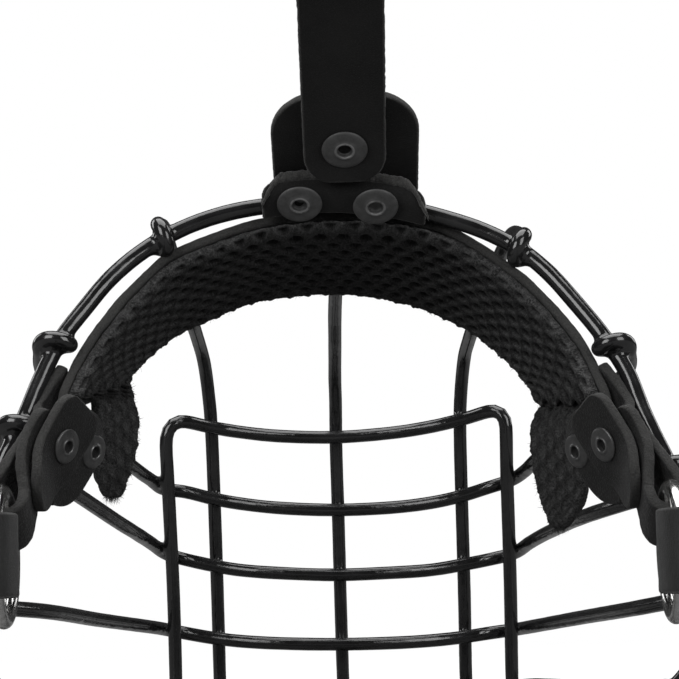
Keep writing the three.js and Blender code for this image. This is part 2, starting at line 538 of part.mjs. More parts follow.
// left part: ring fold, straight run, buckle fold with a slot for the buckle tongue
function addLeftNeckStrap() {
  const place = neckPoint(LEFT);
  const leather = strap([
    ...neckStart(LEFT),
    ...NECK_TO_BUCKLE.map(place),
    ...levelArc(BUCKLE.x, BUCKLE.yBar, RING.z, 3.1, 180, 360, 6),
    ...NECK_FROM_BUCKLE.map(place),
  ], Z_AXIS, { width: NECK_STRAP_W, steps: 90 });
  const slot = new THREE.BoxGeometry(14, 15, 4.8);
  slot.translate(BUCKLE.x, BUCKLE.yBar - 0.2, RING.z);
  const holes = [RING_RIVET_Y, BUCKLE_RIVET_Y].map((y) => neckRivetHole(LEFT, y));
  add('left_neck_strap', cut(leather, ...holes, slot), 'leather');
  addNeckRivet('left_neck_strap_rivet', LEFT, RING_RIVET_Y);
  addNeckRivet('buckle_fold_rivet', LEFT, BUCKLE_RIVET_Y);
}
// right part: ring fold, then a free end with punched holes that turn with the strap
function addRightNeckStrap() {
  const place = neckPoint(RIGHT);
  const leather = strap([...neckStart(RIGHT), ...NECK_FREE_END.map(place)], Z_AXIS,
    { width: NECK_STRAP_W, steps: 96, endRound: 9 });
  const punched = PUNCHED_HOLES.map((row) => {
    const direction = new THREE.Vector3(1, (row[1] - PUNCHED_HOLES[0][1]) * 0.0028, 0);
    return hole(place(row), direction, 14, 2.1, 10);
  });
  add('right_neck_strap',
    cut(leather, neckRivetHole(RIGHT, RING_RIVET_Y), ...punched), 'leather');
  addNeckRivet('right_neck_strap_rivet', RIGHT, RING_RIVET_Y);
}

// ---- buckle ----
function addBuckleFrame() {
  const { x, yBar, yRoller, height, wireR, cornerR } = BUCKLE;
  const front = yBar - cornerR;
  const rear = yRoller + cornerR;
  const top = RING.z + height / 2 - cornerR;
  const bottom = RING.z - height / 2 + cornerR;
  const corners = [[front, top], [rear, top], [rear, bottom], [front, bottom]];
  const points = corners.flatMap(([y, z], corner) => [0, 1, 2, 3].map((i) => {
    const angle = corner * Math.PI / 2 + i * Math.PI / 6;
    return new THREE.Vector3(x, y + Math.cos(angle) * cornerR, z + Math.sin(angle) * cornerR);
  }));
  const curve = new THREE.CatmullRomCurve3(points, true, 'centripetal');
  add('buckle_frame', new THREE.TubeGeometry(curve, 40, wireR, 6, true), 'steel');
}
function addBuckleRoller() {
  const bore = 1.95;
  const radius = 2.7;
  const half = 8;             // half length
  const profile = [[bore, -half], [radius, -half], [radius, half], [bore, half], [bore, -half]];
  const roller = new THREE.LatheGeometry(profile.map(([x, y]) => new THREE.Vector2(x, y)), 14);
  roller.rotateX(Math.PI / 2);
  roller.translate(BUCKLE.x, BUCKLE.yRoller, RING.z);
  add('buckle_roller', roller, 'steel');
}
// curled round the bar, then straight back over the roller
function addBuckleTongue() {
  const { x, yBar, yRoller } = BUCKLE;
  const straight = [
    [x - 3.6, yBar - 2, RING.z], [x - 3.9, yBar - 10, RING.z],
    [x - 4.2, yRoller + 4, RING.z], [x - 4.4, yRoller - 3.6, RING.z],
  ];
  const points = [...levelArc(x, yBar, RING.z, 3.2, 250, 500, 5), ...vectors(straight)];
  add('buckle_tongue', bar(points, 1.35, 22, Z_AXIS, 8), 'steel');
}

// ---- keeper loop on the left part ----
function addKeeper() {
  const halfX = 3.55 / 2;     // half opening
  const halfZ = 10.6;
  const wall = 1.7;
  const corners = (x, y, signs) => signs.map(([sx, sy]) => new THREE.Vector2(sx * x, sy * y));
  const shape = new THREE.Shape(
    corners(halfX + wall, halfZ + wall, [[-1, -1], [1, -1], [1, 1], [-1, 1]]));
  shape.holes.push(new THREE.Path(
    corners(halfX, halfZ, [[-1, -1], [-1, 1], [1, 1], [1, -1]])));
  const keeper = new THREE.ExtrudeGeometry(shape, { depth: 9, bevelEnabled: false, steps: 1 });
  keeper.rotateX(Math.PI / 2);
  keeper.translate(-75.7, -185.5, RING.z);
  add('strap_keeper', keeper, 'leather');
}

addLeftNeckStrap();
addBuckleFrame();
addBuckleRoller();
addBuckleTongue();
addKeeper();
addRightNeckStrap();

export default group;
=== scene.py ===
# Wire basket muzzle with a leather and mesh nose pad, cheek straps with rings, a head strap
# and a two-part neck strap with a buckle. Lengths are millimetres, turned to metres by S.
# The origin is under the chin, +Y points to the nose, +Z up; the left side has negative X.
import bpy
import bmesh
import math
import numpy as np
from mathutils import Vector, Matrix, kdtree, noise


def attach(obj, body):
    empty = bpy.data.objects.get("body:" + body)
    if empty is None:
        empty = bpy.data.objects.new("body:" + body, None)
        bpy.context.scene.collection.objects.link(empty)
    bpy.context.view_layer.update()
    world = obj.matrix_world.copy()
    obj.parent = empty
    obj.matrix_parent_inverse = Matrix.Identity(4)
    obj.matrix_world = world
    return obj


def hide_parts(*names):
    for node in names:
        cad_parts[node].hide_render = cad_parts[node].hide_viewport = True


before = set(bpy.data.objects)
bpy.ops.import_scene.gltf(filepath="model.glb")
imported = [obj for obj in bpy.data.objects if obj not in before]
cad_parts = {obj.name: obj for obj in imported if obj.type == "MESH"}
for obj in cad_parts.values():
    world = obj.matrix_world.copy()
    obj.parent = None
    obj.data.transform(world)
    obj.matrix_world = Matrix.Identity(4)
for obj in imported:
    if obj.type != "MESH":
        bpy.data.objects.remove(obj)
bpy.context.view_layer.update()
S = 0.001
rng = np.random.default_rng(7)

# ------------------------------------------------------------------ driving sizes
WIRE_R = 1.87        # coated wire radius
RIM_R = 1.98         # radius of the rear rim wire
LEATHER = 2.5        # leather thickness
MESH = 3.0           # lining thickness
GAP = 0.35           # clearance between layers
STRAP_X = 4.6        # centre plane of the head strap
RING_X, RING_Y, RING_Z = 72.5, -120.2, 55.2   # centre of a cheek ring
RING_R, RING_WIRE_R = 14.0, 1.75
RIGHT_DX, RIGHT_DZ = 0.4, -3.4                # the right side's shift outwards and up

# ------------------------------------------------------------------ centre lines, x y z
# closed rear rim
RIM = [
    (-14, -39.4, 6), (-34, -50.5, 8.4), (-54, -63.8, 11.6), (-70, -77, 16.6), (-80, -89, 27),
    (-84, -97, 40.5), (-82.6, -100.5, 55.5), (-78.6, -100.3, 68.5), (-74, -98.3, 79.7),
    (-70.5, -94.8, 87.8), (-67.5, -91.2, 96.1), (-63.3, -87.1, 105.5), (-58, -83.8, 113),
    (-51.5, -80.1, 121.2), (-43.8, -77.2, 127.8), (-34.3, -74.6, 133.3), (-23.4, -72.9, 136.9),
    (-10.1, -71.9, 138.7), (3.2, -71.7, 138.8), (16.4, -72.1, 137.2), (27.1, -73.2, 134.2),
    (37.7, -74.9, 130), (45.8, -76.9, 125), (52, -79.3, 119.1), (57.8, -82.5, 111.4),
    (63.7, -86.1, 102.7), (68.2, -89.7, 94.3), (71.4, -94.3, 83.4), (75, -98.4, 73.6),
    (79.7, -100.4, 63), (83.2, -100.4, 51.5), (84.2, -97, 38.5), (80, -88.5, 25),
    (70, -76.5, 15.6), (54, -63.8, 11.2), (34, -50.5, 8.4), (14, -39.4, 6), (0, -38, 5.95)]
# arch round the nose opening, left foot to right foot
FRONT_ARCH = [
    (-47.5, 38.4, 23.4), (-47.3, 34, 46.6), (-47.5, 30.2, 66.3), (-47.7, 27.4, 80.3),
    (-47.8, 26.1, 87), (-47.3, 25.5, 90.9), (-45.5, 25.8, 93.3), (-42.7, 27.2, 93.9),
    (-35.8, 35.1, 92.6), (-27.5, 39.7, 91.2), (-16.1, 43.5, 89.9), (-0.2, 45.4, 89.2),
    (15.8, 43.6, 89.8), (27.3, 40.1, 91), (37.1, 34.6, 92.7), (43.9, 27.1, 94.1),
    (46.7, 25.8, 93.5), (48, 25.4, 91), (48.1, 25.9, 86.8), (48, 27.8, 77.3),
    (48.1, 30.5, 63.3), (48.2, 34.3, 43.6), (48, 38.8, 20.4)]
# from the arch's left foot back to the rim
LEFT_LEG = [
    (-47.6, 37.5, 15), (-47.8, 33, 11.4), (-48.2, 26, 10.4), (-49.5, 0, 10.8),
    (-52.2, -30, 11.2), (-56, -50, 11.2)]
# wires round the nose, left to right
UPPER_CHEEK = [
    (-68.8, -72, 98.6), (-64.4, -30, 88.8), (-55, 13, 79.9), (-52.4, 26.3, 77.7),
    (-49.5, 34.7, 75.3), (-43.5, 36, 74.4), (-36.1, 40.6, 72.4), (-28.2, 44.5, 70.8),
    (-16.8, 48.2, 69.3), (-0.9, 50.2, 68.3), (15.1, 48.5, 68.4), (26.7, 45, 69.3),
    (35.8, 40.7, 70.9), (43.6, 35.9, 73), (49.8, 35.2, 74.8), (53.2, 26.5, 77),
    (55.4, 13.1, 79.4), (64.8, -30, 87.6), (70.2, -72, 95)]
MIDDLE_CHEEK = [
    (-77.2, -84, 80.2), (-69.5, -60, 75), (-58.7, -13.1, 65.5), (-55.9, 1.2, 63.1),
    (-52.9, 25.7, 60.1), (-49.5, 38.7, 57), (-44.2, 39.7, 55.2), (-36.8, 44.3, 53.3),
    (-28.9, 48.1, 51.7), (-17.5, 51.8, 50.5), (-1.5, 53.8, 49.5), (14.6, 52.2, 49.6),
    (26.1, 48.7, 50), (35.2, 44.5, 51.2), (43.1, 39.8, 52.5), (50.2, 40, 54.1),
    (53.8, 27, 56.8), (57.7, 1.6, 59.4), (63.5, -41.9, 62.3), (80.4, -84, 67.4)]
LOWER_CHEEK = [
    (-72.3, -61, 42.7), (-63.5, -10.4, 39.4), (-53.4, 31.7, 36.4), (-49.8, 42.8, 35.3),
    (-45, 43.8, 34.2), (-37.5, 48.3, 32.5), (-29.6, 52, 31.2), (-18.2, 55.7, 30.1),
    (-2.1, 57.6, 29.3), (14, 56, 29.2), (25.5, 52.6, 29.6), (34.7, 48.5, 30.4),
    (42.5, 43.9, 31.5), (50, 44.1, 32.3), (53.8, 33, 33.2), (63.3, -8, 36), (72.8, -59.6, 39)]
CHIN = [
    (-73.2, -62, 21.8), (-61, -10, 19.6), (-55.4, 28, 17.2), (-52.8, 39.4, 16.6),
    (-46.8, 46.2, 16), (-38, 49.6, 15.2), (-28, 53.2, 14.4), (-15, 57.6, 13.6),
    (0, 59.3, 13.2), (15, 57.6, 13.6), (28, 53.2, 14.4), (38, 49, 15.2), (47.4, 46.2, 16),
    (53.4, 39.8, 16.6), (56, 28, 17), (61.3, -10, 18), (72.6, -60, 18.3)]
# wires over the nose, rear to front, then down
NOSE_LEFT = [
    (-40.2, -62, 134.6), (-39, -25, 125.6), (-37.5, 16.8, 115.8), (-36.7, 27.3, 111.2),
    (-36.3, 33.9, 106), (-36, 37.5, 100.6), (-35.8, 39.4, 96.4), (-35.7, 42.5, 86.5),
    (-35.7, 46.7, 66.4), (-35.8, 51.5, 43.3), (-36, 56, 21.5)]
NOSE_RIGHT = [
    (44.8, -62, 130.5), (40.5, -25, 121.8), (37.7, 18.7, 112.2), (37.1, 27.6, 108.9),
    (36.6, 34.2, 103.7), (36.2, 37.8, 98.3), (36, 39.6, 94.1), (35.9, 43, 84.2),
    (35.9, 46.5, 64.1), (35.9, 50.6, 41.1), (35.7, 54.6, 19.3)]
NOSE_MIDDLE = [
    (3, -70.6, 137.9), (2.6, -55, 136.4), (2, -30, 131), (1, 4.1, 121.5), (0.7, 19.9, 114.9),
    (0.5, 30.5, 110.3), (0.3, 39, 105.3), (0.3, 44.6, 100), (0.2, 47.6, 95.8),
    (0, 51.4, 85.8), (0, 55.3, 65.5), (-0.1, 59.7, 42.1), (-0.1, 63.9, 20.1)]
# rear and front edges of the nose pad, left to right
PAD_REAR = [
    (-63.3, -92.5, 94), (-59.1, -87.5, 103.6), (-51.8, -83.1, 114.1), (-47.3, -80.1, 119.5),
    (-39.1, -76.9, 127.2), (-28.3, -74.4, 132), (-16.3, -72.3, 135.7), (3.8, -70.9, 137.2),
    (23.6, -71.6, 134.5), (34.2, -73.1, 129.8), (45.5, -78.2, 120.5), (51, -80.6, 114.7),
    (56.3, -83.9, 107.5), (60.5, -86.7, 100.7), (64.1, -92.1, 90)]
PAD_FRONT = [
    (-49.8, -55.7, 97.4), (-48, -50.1, 101.6), (-42.2, -42.7, 107.7), (-37.1, -38.1, 111.8),
    (-29.9, -33.4, 115.2), (-20.9, -29.8, 119.2), (-9.2, -28, 120.9), (5.1, -27, 121.1),
    (20.6, -27.6, 117.7), (28.2, -29.3, 114.3), (36.8, -34.7, 108.5), (40.7, -39.3, 104.4),
    (44.3, -43.9, 100), (47.2, -49.4, 95.4), (49.3, -55, 90.6)]
# rear and front edges of the lining below the pad: left going up, right going down
FLAP_L_REAR = [
    (-55.1, -60.8, 69.7), (-56.7, -65.2, 73.7), (-56.8, -69.9, 79.5), (-56.3, -73.5, 85.3),
    (-56, -77.2, 91.7)]
FLAP_L_FRONT = [
    (-53.5, -54.8, 69.7), (-51.3, -53.3, 74.6), (-49.8, -51.9, 80.3), (-48.9, -51.6, 87.7),
    (-49.9, -53.2, 93.4)]
FLAP_R_REAR = [
    (60.4, -81.8, 87.7), (57.8, -79.1, 81.2), (58.5, -75.1, 71.9), (58.3, -70.4, 65),
    (54.4, -63.7, 59.1)]
FLAP_R_FRONT = [
    (51.3, -53.7, 88.7), (49.2, -52.2, 83.4), (49.5, -50.1, 73.5), (51.1, -50.3, 65.6),
    (53.1, -53.6, 59)]


# ------------------------------------------------------------------ lines and vectors
def vec(x):
    return np.asarray(x, float)


def unit(v):
    v = vec(v)
    return v / np.maximum(np.linalg.norm(v, axis=-1, keepdims=True), 1e-12)


def clamp01(x):
    return min(1.0, max(0.0, x))


def smoothstep(x):
    return x * x * (3 - 2 * x)


def noise_at(p, scale):
    return noise.noise(Vector(p * scale))


def noise_2d(x, y):
    return noise.noise(Vector((x, y, 0.0)))


def at_x(x, rows):
    """points in one plane of constant x, from (y, z) rows"""
    return [(x, y, z) for y, z in rows]


def spline(points, per, closed=False, centripetal=False):
    """Catmull-Rom line with `per` points to a span"""
    points = vec(points)
    n = len(points)
    out = []
    for i in range(n if closed else n - 1):
        p1, p2 = points[i], points[(i + 1) % n]
        if closed:
            p0, p3 = points[i - 1], points[(i + 2) % n]
        else:
            p0 = points[i - 1] if i > 0 else 2 * p1 - p2
            p3 = points[i + 2] if i + 2 < n else 2 * p2 - p1
        if centripetal:
            d0, d1, d2 = (max(1e-4, np.linalg.norm(b - a) ** 0.5)
                          for a, b in ((p0, p1), (p1, p2), (p2, p3)))
            m1 = ((p1 - p0) / d0 - (p2 - p0) / (d0 + d1) + (p2 - p1) / d1) * d1
            m2 = ((p2 - p1) / d1 - (p3 - p1) / (d1 + d2) + (p3 - p2) / d2) * d1
        else:
            m1, m2 = 0.5 * (p2 - p0), 0.5 * (p3 - p1)
        for k in range(per):
            s = k / per
            out.append((2 * s**3 - 3 * s**2 + 1) * p1 + (s**3 - 2 * s**2 + s) * m1
                       + (-2 * s**3 + 3 * s**2) * p2 + (s**3 - s**2) * m2)
    if not closed:
        out.append(points[-1])
    return vec(out)


def lengths_along(line):
    steps = np.linalg.norm(np.diff(line, axis=0), axis=1)
    return np.concatenate([[0], np.cumsum(steps)])


def sample(at, lengths, rows):
    return np.stack([np.interp(at, lengths, rows[:, k]) for k in range(3)], 1)


def resample(line, step, closed=False):
    if closed:
        line = np.vstack([line, line[:1]])
    lengths = lengths_along(line)
    count = max(3, int(round(lengths[-1] / step)))
    at = np.linspace(0, lengths[-1], count + 1)
    return sample(at[:-1] if closed else at, lengths, line)


def smooth_line(line, passes):
    line = line.copy()
    for _ in range(passes):
        line[1:-1] = 0.25 * line[:-2] + 0.5 * line[1:-1] + 0.25 * line[2:]
    return line


def tangents(line, closed=False):
    if closed:
        return unit(np.roll(line, -1, 0) - np.roll(line, 1, 0))
    out = np.empty_like(line)
    out[1:-1] = line[2:] - line[:-2]
    out[0], out[-1] = line[1] - line[0], line[-1] - line[-2]
    return unit(out)


def carried_normals(along, start):
    """normals carried along a line without twist"""
    v = vec(start)
    out = []
    for tangent in along:
        v = unit(v - tangent * (v @ tangent))
        out.append(v)
    return vec(out)


def capped(stations, last, radius, caps):
    """add rounded ends to (index, radius factor, offset) stations"""
    return ([(0, f, -g * radius) for f, g in caps] + stations
            + [(last, f, g * radius) for f, g in reversed(caps)])


def circle(center, axis, radius, height, sides):
    """ring of points round an axis, `height` along it from the centre"""
    d = unit(axis)
    a = unit(np.cross(d, vec([0.31, 0.52, 0.79])))
    b = np.cross(d, a)
    return [vec(center) + d * height + (a * math.cos(t) + b * math.sin(t)) * radius
            for t in np.linspace(0, 2 * math.pi, sides, endpoint=False)]


# ------------------------------------------------------------------ meshes
def new_mesh(name, verts, faces, mat, attrs=None, smooth=True):
    me = bpy.data.meshes.new(name)
    me.from_pydata([tuple(v) for v in (vec(verts) * S)], [],
                   [tuple(int(i) for i in f) for f in faces])
    me.validate(clean_customdata=False)
    me.materials.append(mat)
    for key, values in (attrs or {}).items():
        values = vec(values).astype(np.float32)
        if values.ndim == 1:
            me.attributes.new(key, "FLOAT", "POINT").data.foreach_set("value", values)
        else:
            layer = me.attributes.new(key, "FLOAT_VECTOR", "POINT")
            layer.data.foreach_set("vector", values.ravel())
    bm = bmesh.new()
    bm.from_mesh(me)
    bmesh.ops.recalc_face_normals(bm, faces=bm.faces)
    bm.to_mesh(me)
    bm.free()
    if smooth:
        me.polygons.foreach_set("use_smooth", np.ones(len(me.polygons), bool))
    me.update()
    obj = bpy.data.objects.new(name, me)
    bpy.context.scene.collection.objects.link(obj)
    return obj


def ring_faces(rings, sides, closed=False, cap=True):
    """faces between successive rings of points, with end caps on an open run"""
    faces = []
    for i in range(rings if closed else rings - 1):
        a, b = i * sides, ((i + 1) % rings) * sides
        for j in range(sides):
            k = (j + 1) % sides
            faces.append((a + j, a + k, b + k, b + j))
    if cap and not closed:
        faces.append(tuple(range(sides - 1, -1, -1)))
        faces.append(tuple((rings - 1) * sides + j for j in range(sides)))
    return faces


def register(obj, body):
    """every visual_<node> object stands in for the CAD piece <node>"""
    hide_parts(obj.name.removeprefix("visual_"))
    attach(obj, body)


def join(base, other):
    """merge other into base, keeping materials and attributes"""
    for obj in bpy.context.selected_objects:
        obj.select_set(False)
    for obj in (base, other):
        obj.select_set(True)
    bpy.context.view_layer.objects.active = base
    bpy.ops.object.join()
    base.select_set(False)


def cut(obj, cutters):
    """cut clean holes through a piece"""
    for cutter in cutters:
        mod = obj.modifiers.new("cut", "BOOLEAN")
        mod.operation = "DIFFERENCE"
        mod.solver = "EXACT"
        mod.object = cutter
    depsgraph = bpy.context.evaluated_depsgraph_get()
    me = bpy.data.meshes.new_from_object(obj.evaluated_get(depsgraph))
    obj.modifiers.clear()
    obj.data = me
    for cutter in cutters:
        bpy.data.objects.remove(cutter)


# ------------------------------------------------------------------ materials
def fresh_tree(owner):
    owner.use_nodes = True
    owner.node_tree.nodes.clear()
    return owner.node_tree


class Shader:
    """a principled material under construction"""

    def __init__(self, name):
        self.material = bpy.data.materials.new(name)
        self.tree = fresh_tree(self.material)
        out = self.add("ShaderNodeOutputMaterial")
        self.principled = self.add("ShaderNodeBsdfPrincipled")
        self.tree.links.new(self.principled.outputs[0], out.inputs[0])
        self.coords = self.add("ShaderNodeTexCoord").outputs["Object"]

    def put(self, socket, value):
        if isinstance(value, bpy.types.NodeSocket):
            self.tree.links.new(value, socket)
        else:
            socket.default_value = value

    def add(self, kind, inputs=None, **properties):
        node = self.tree.nodes.new(kind)
        for key, value in properties.items():
            setattr(node, key, value)
        for key, value in (inputs or {}).items():
            self.put(node.inputs[key], value)
        return node

    def noise(self, scale, detail=3.0, rough=0.55, at=None, warp=0.0):
        return self.add("ShaderNodeTexNoise", {
            "Vector": at or self.coords, "Scale": scale, "Detail": detail,
            "Roughness": rough, "Distortion": warp}).outputs["Fac"]

    def cells(self, scale, at=None):
        """distance to the edge of Voronoi cells"""
        return self.add("ShaderNodeTexVoronoi", {
            "Vector": at or self.coords, "Scale": scale, "Randomness": 1.0},
            feature="DISTANCE_TO_EDGE").outputs["Distance"]

    def ramp(self, value, span, to=(0.0, 1.0)):
        return self.add("ShaderNodeMapRange", {
            "Value": value, "From Min": span[0], "From Max": span[1],
            "To Min": to[0], "To Max": to[1]}).outputs[0]

    def math(self, operation, a, b, clamp):
        return self.add("ShaderNodeMath", {0: a, 1: b}, operation=operation,
                        use_clamp=clamp).outputs[0]

    def plus(self, a, b, clamp=False):
        return self.math("ADD", a, b, clamp)

    def times(self, a, b, clamp=False):
        return self.math("MULTIPLY", a, b, clamp)

    def weighted_sum(self, *terms):
        """sum of (value, weight) terms"""
        total = None
        for value, weight in terms:
            term = self.times(value, weight)
            total = self.plus(total, term) if total else term
        return total

    def mix(self, fac, a, b):
        return self.add("ShaderNodeMix", {"Factor": fac, 6: a, 7: b},
                        data_type="RGBA").outputs[2]

    def attr(self, name, output="Fac"):
        return self.add("ShaderNodeAttribute", attribute_name=name).outputs[output]

    def scaled(self, vector, factors):
        return self.add("ShaderNodeVectorMath", {0: vector, 1: factors},
                        operation="MULTIPLY").outputs[0]

    def bump(self, height, strength, distance, normal=None):
        inputs = {"Height": height, "Strength": strength, "Distance": distance}
        if normal:
            inputs["Normal"] = normal
        return self.add("ShaderNodeBump", inputs).outputs[0]

    def finish(self, **inputs):
        for key, value in inputs.items():
            self.put(self.principled.inputs[key.replace("_", " ")], value)
        return self.material


def grey(value, tint=(1, 1, 1)):
    return (value * tint[0], value * tint[1], value * tint[2], 1)


def wire_material():
    """glossy black dip coating, gently uneven and a little dusty"""
    m = Shader("dip_coated_wire")
    waves = m.noise(scale=140, detail=2, rough=0.5)
    peel = m.noise(scale=1500, detail=2, rough=0.5)
    dust = m.noise(scale=5200, detail=2, rough=0.6)
    rough = m.plus(m.ramp(waves, span=(0.35, 0.65), to=(0.10, 0.20)),
                   m.ramp(dust, span=(0.6, 0.75), to=(0.0, 0.12)))
    normal = m.bump(waves, strength=0.35, distance=0.0012)
    normal = m.bump(peel, strength=0.10, distance=0.00025, normal=normal)
    color = m.mix(m.ramp(waves, span=(0.3, 0.7)), grey(0.006), grey(0.012, tint=(1, 1, 1.05)))
    return m.finish(Base_Color=color, Roughness=rough, Normal=normal, IOR=1.5,
                    Coat_Weight=0.35, Coat_Roughness=0.06)


def leather_material(name, base, grain, rough, edge_grey, suede=0.0):
    """pebbled grain leather; the vertex attribute edge marks raw cut edges"""
    m = Shader(name)
    wobble = m.add("ShaderNodeTexNoise", {"Vector": m.coords, "Scale": 420.0, "Detail": 2.0})
    bent = m.add("ShaderNodeVectorMath", {
        0: wobble.outputs["Color"], 1: (0.0006, 0.0006, 0.0006), 2: m.coords},
        operation="MULTIPLY_ADD").outputs[0]
    pebbles = m.ramp(m.cells(scale=grain, at=bent), span=(0.0, 0.32))
    fine = m.noise(scale=grain * 3.2, detail=4, rough=0.65)
    blotch = m.noise(scale=95, detail=4, rough=0.6)
    crease = m.noise(scale=300, detail=5, rough=0.7, warp=0.8)
    speck = m.noise(scale=3300, detail=3, rough=0.7)
    edge = m.attr("edge")
    fibre = m.noise(scale=2600, detail=5, rough=0.75)
    raw = m.times(m.ramp(edge, span=(0.25, 0.8)), m.ramp(fibre, span=(0.3, 0.62)), clamp=True)
    # blotches from a darker to a lighter tone, then pale specks, then the raw edge
    color = m.mix(m.ramp(blotch, span=(0.35, 0.65)), grey(base * 0.75),
                  grey(base * 1.35, tint=(1.02, 1, 0.98)))
    speck_amount = 0.35 + 0.5 * suede
    color = m.mix(m.times(m.ramp(speck, span=(0.56, 0.7)), speck_amount, clamp=True),
                  color, grey(base * 3.2))
    color = m.mix(raw, color, grey(edge_grey, tint=(1.0, 0.99, 0.96)))
    roughness = m.ramp(pebbles, span=(0.0, 1.0), to=(rough[1], rough[0]))
    roughness = m.plus(roughness, m.ramp(blotch, span=(0.3, 0.7), to=(-0.06, 0.08)))
    roughness = m.mix(m.ramp(edge, span=(0.3, 0.9)), roughness, grey(0.92))
    height = m.weighted_sum((pebbles, 0.6 * (1 - 0.8 * suede)), (fine, 0.35 + 0.6 * suede),
                            (crease, 0.5), (m.times(fibre, edge), 2.2))
    return m.finish(Base_Color=color, Roughness=roughness, IOR=1.42,
                    Normal=m.bump(height, strength=0.55, distance=0.00022),
                    Sheen_Weight=0.05 + 0.13 * suede, Sheen_Roughness=0.45,
                    Specular_IOR_Level=0.42 - 0.25 * suede)


def mesh_material():
    """knitted spacer mesh. Attributes: st is the place on the cloth in metres, hole the
    depth into a hole, cut the raw and frayed parts"""
    m = Shader("spacer_mesh")
    place = m.attr("st", "Vector")
    hole = m.attr("hole")
    yarn = m.add("ShaderNodeTexWave", {
        "Vector": m.scaled(place, (1.0, 0.62, 1.0)), "Scale": 560.0, "Distortion": 9.0,
        "Detail": 3.0, "Detail Scale": 3.0},
        wave_type="BANDS", bands_direction="DIAGONAL").outputs["Fac"]
    fuzz = m.noise(scale=4200, detail=4, rough=0.75)
    fibre = m.noise(scale=1700, detail=5, rough=0.8, warp=1.4)
    color = m.mix(m.ramp(yarn, span=(0.3, 0.9)), grey(0.0022), grey(0.0085))
    # painted highlight on the threads along the slopes of the holes, broken up by fibre noise
    slope = m.times(m.ramp(hole, span=(0.02, 0.12)), m.ramp(hole, span=(0.55, 0.22)))
    color = m.mix(m.times(slope, m.ramp(fibre, span=(0.42, 0.60))), color, grey(0.085))
    # pale specks all over, more of them where the cloth is cut
    speck = m.noise(scale=2500, detail=3, rough=0.85, warp=0.6)
    speck_amount = 0.85
    color = m.mix(m.times(m.ramp(speck, span=(0.53, 0.62)), speck_amount, clamp=True),
                  color, grey(0.052))
    color = m.mix(m.times(m.ramp(speck, span=(0.49, 0.56)), m.attr("cut"), clamp=True),
                  color, grey(0.070))
    # painted shade: the colour darkens towards the bottom of each hole, where the real cloth lies
    # in shadow
    color = m.mix(m.ramp(hole, span=(0.35, 0.95)), color, grey(0.0015))
    height = m.weighted_sum((yarn, 0.8), (fuzz, 0.8), (fibre, 0.9))
    return m.finish(Base_Color=color, Roughness=0.80, Sheen_Weight=0.04, Sheen_Roughness=0.4,
                    Normal=m.bump(height, strength=0.9, distance=0.00035),
                    Specular_IOR_Level=0.35)


def rivet_material(name, base, metal, rough):
    """blackened metal, worn bright where the vertex attribute edge is set"""
    m = Shader(name)
    brush = m.noise(scale=2600, detail=3, rough=0.6)
    blotch = m.noise(scale=500, detail=3, rough=0.6)
    scratch = m.ramp(m.cells(scale=900), span=(0.02, 0.0))
    wear = m.times(m.ramp(m.attr("edge"), span=(0.35, 1.0)),
                   m.ramp(blotch, span=(0.3, 0.62)), clamp=True)
    scratch_amount, wear_amount, wear_metal, brush_height = 0.3, 0.8, 0.5, 0.5
    color = m.mix(m.ramp(blotch, span=(0.35, 0.65)), grey(base * 0.8), grey(base * 1.15))
    color = m.mix(m.times(scratch, scratch_amount, clamp=True), color, grey(base * 1.9))
    color = m.mix(m.times(wear, wear_amount), color, grey(0.30))
    height = m.plus(m.times(brush, brush_height), blotch)
    return m.finish(
        Base_Color=color, Metallic=m.plus(metal, m.times(wear, wear_metal), clamp=True),
        Roughness=m.ramp(brush, span=(0.3, 0.7), to=(rough - 0.08, rough + 0.12)),
        Normal=m.bump(height, strength=0.2, distance=0.0002))


def steel_material():
    m = Shader("plated_steel")
    tone = m.noise(scale=420, detail=3, rough=0.6)
    scratch = m.noise(scale=2400, detail=4, rough=0.7, at=m.scaled(m.coords, (1.0, 1.0, 9.0)))
    color = m.mix(m.ramp(tone, span=(0.35, 0.65)), grey(0.56, tint=(1, 0.99, 0.97)),
                  grey(0.74, tint=(1, 0.995, 0.985)))
    return m.finish(Base_Color=color, Metallic=1.0,
                    Roughness=m.ramp(scratch, span=(0.35, 0.7), to=(0.10, 0.28)),
                    Normal=m.bump(scratch, strength=0.08, distance=0.0001))


WIRE = wire_material()
BAND = leather_material("band_leather", base=0.0095, grain=1150, rough=(0.46, 0.66),
                        edge_grey=0.034)
TONGUE = leather_material("grain_leather", base=0.0070, grain=1500, rough=(0.42, 0.62),
                          edge_grey=0.036)
STRAP = leather_material("strap_leather", base=0.0065, grain=1700, rough=(0.68, 0.86),
                         edge_grey=0.030, suede=0.6)
NECK = leather_material("neck_strap_leather", base=0.0030, grain=1500, rough=(0.80, 0.92),
                        edge_grey=0.026, suede=0.75)
LIP = leather_material("raw_leather_edge", base=0.016, grain=900, rough=(0.85, 0.95),
                       edge_grey=0.060, suede=1.0)
CLOTH = mesh_material()
RIVET = rivet_material("blackened_rivet", base=0.062, metal=0.15, rough=0.5)
EYELET = rivet_material("eyelet_metal", base=0.075, metal=0.6, rough=0.34)
STEEL = steel_material()

# ------------------------------------------------------------------ wires
WIRE_STEP = 0.55         # spacing of points along a wire
WIRE_SIDES = 20
BLEND = 1.9              # softness of the coating where wires touch
BLEND_REACH = 8.0        # nearer than this to another wire, the coating is modelled finely
MAX_FILLET = 2.1
WIRE_CAPS = [(0.30, 0.95), (0.68, 0.72), (0.93, 0.36)]   # radius factor, reach over radius
HOOK_START, HOOK_END = 205.0, -36                        # degrees round the rim
HOOK_TUCK = 125          # beyond this angle the hook closes in
HOOK_R = 3.78            # rim centre to hook centre line
HOOK_PITCH = 5.4         # drift along the rim in a full turn
UNDER_Z = 2.1 * math.cos(math.pi / 6)                    # wires running under the chin

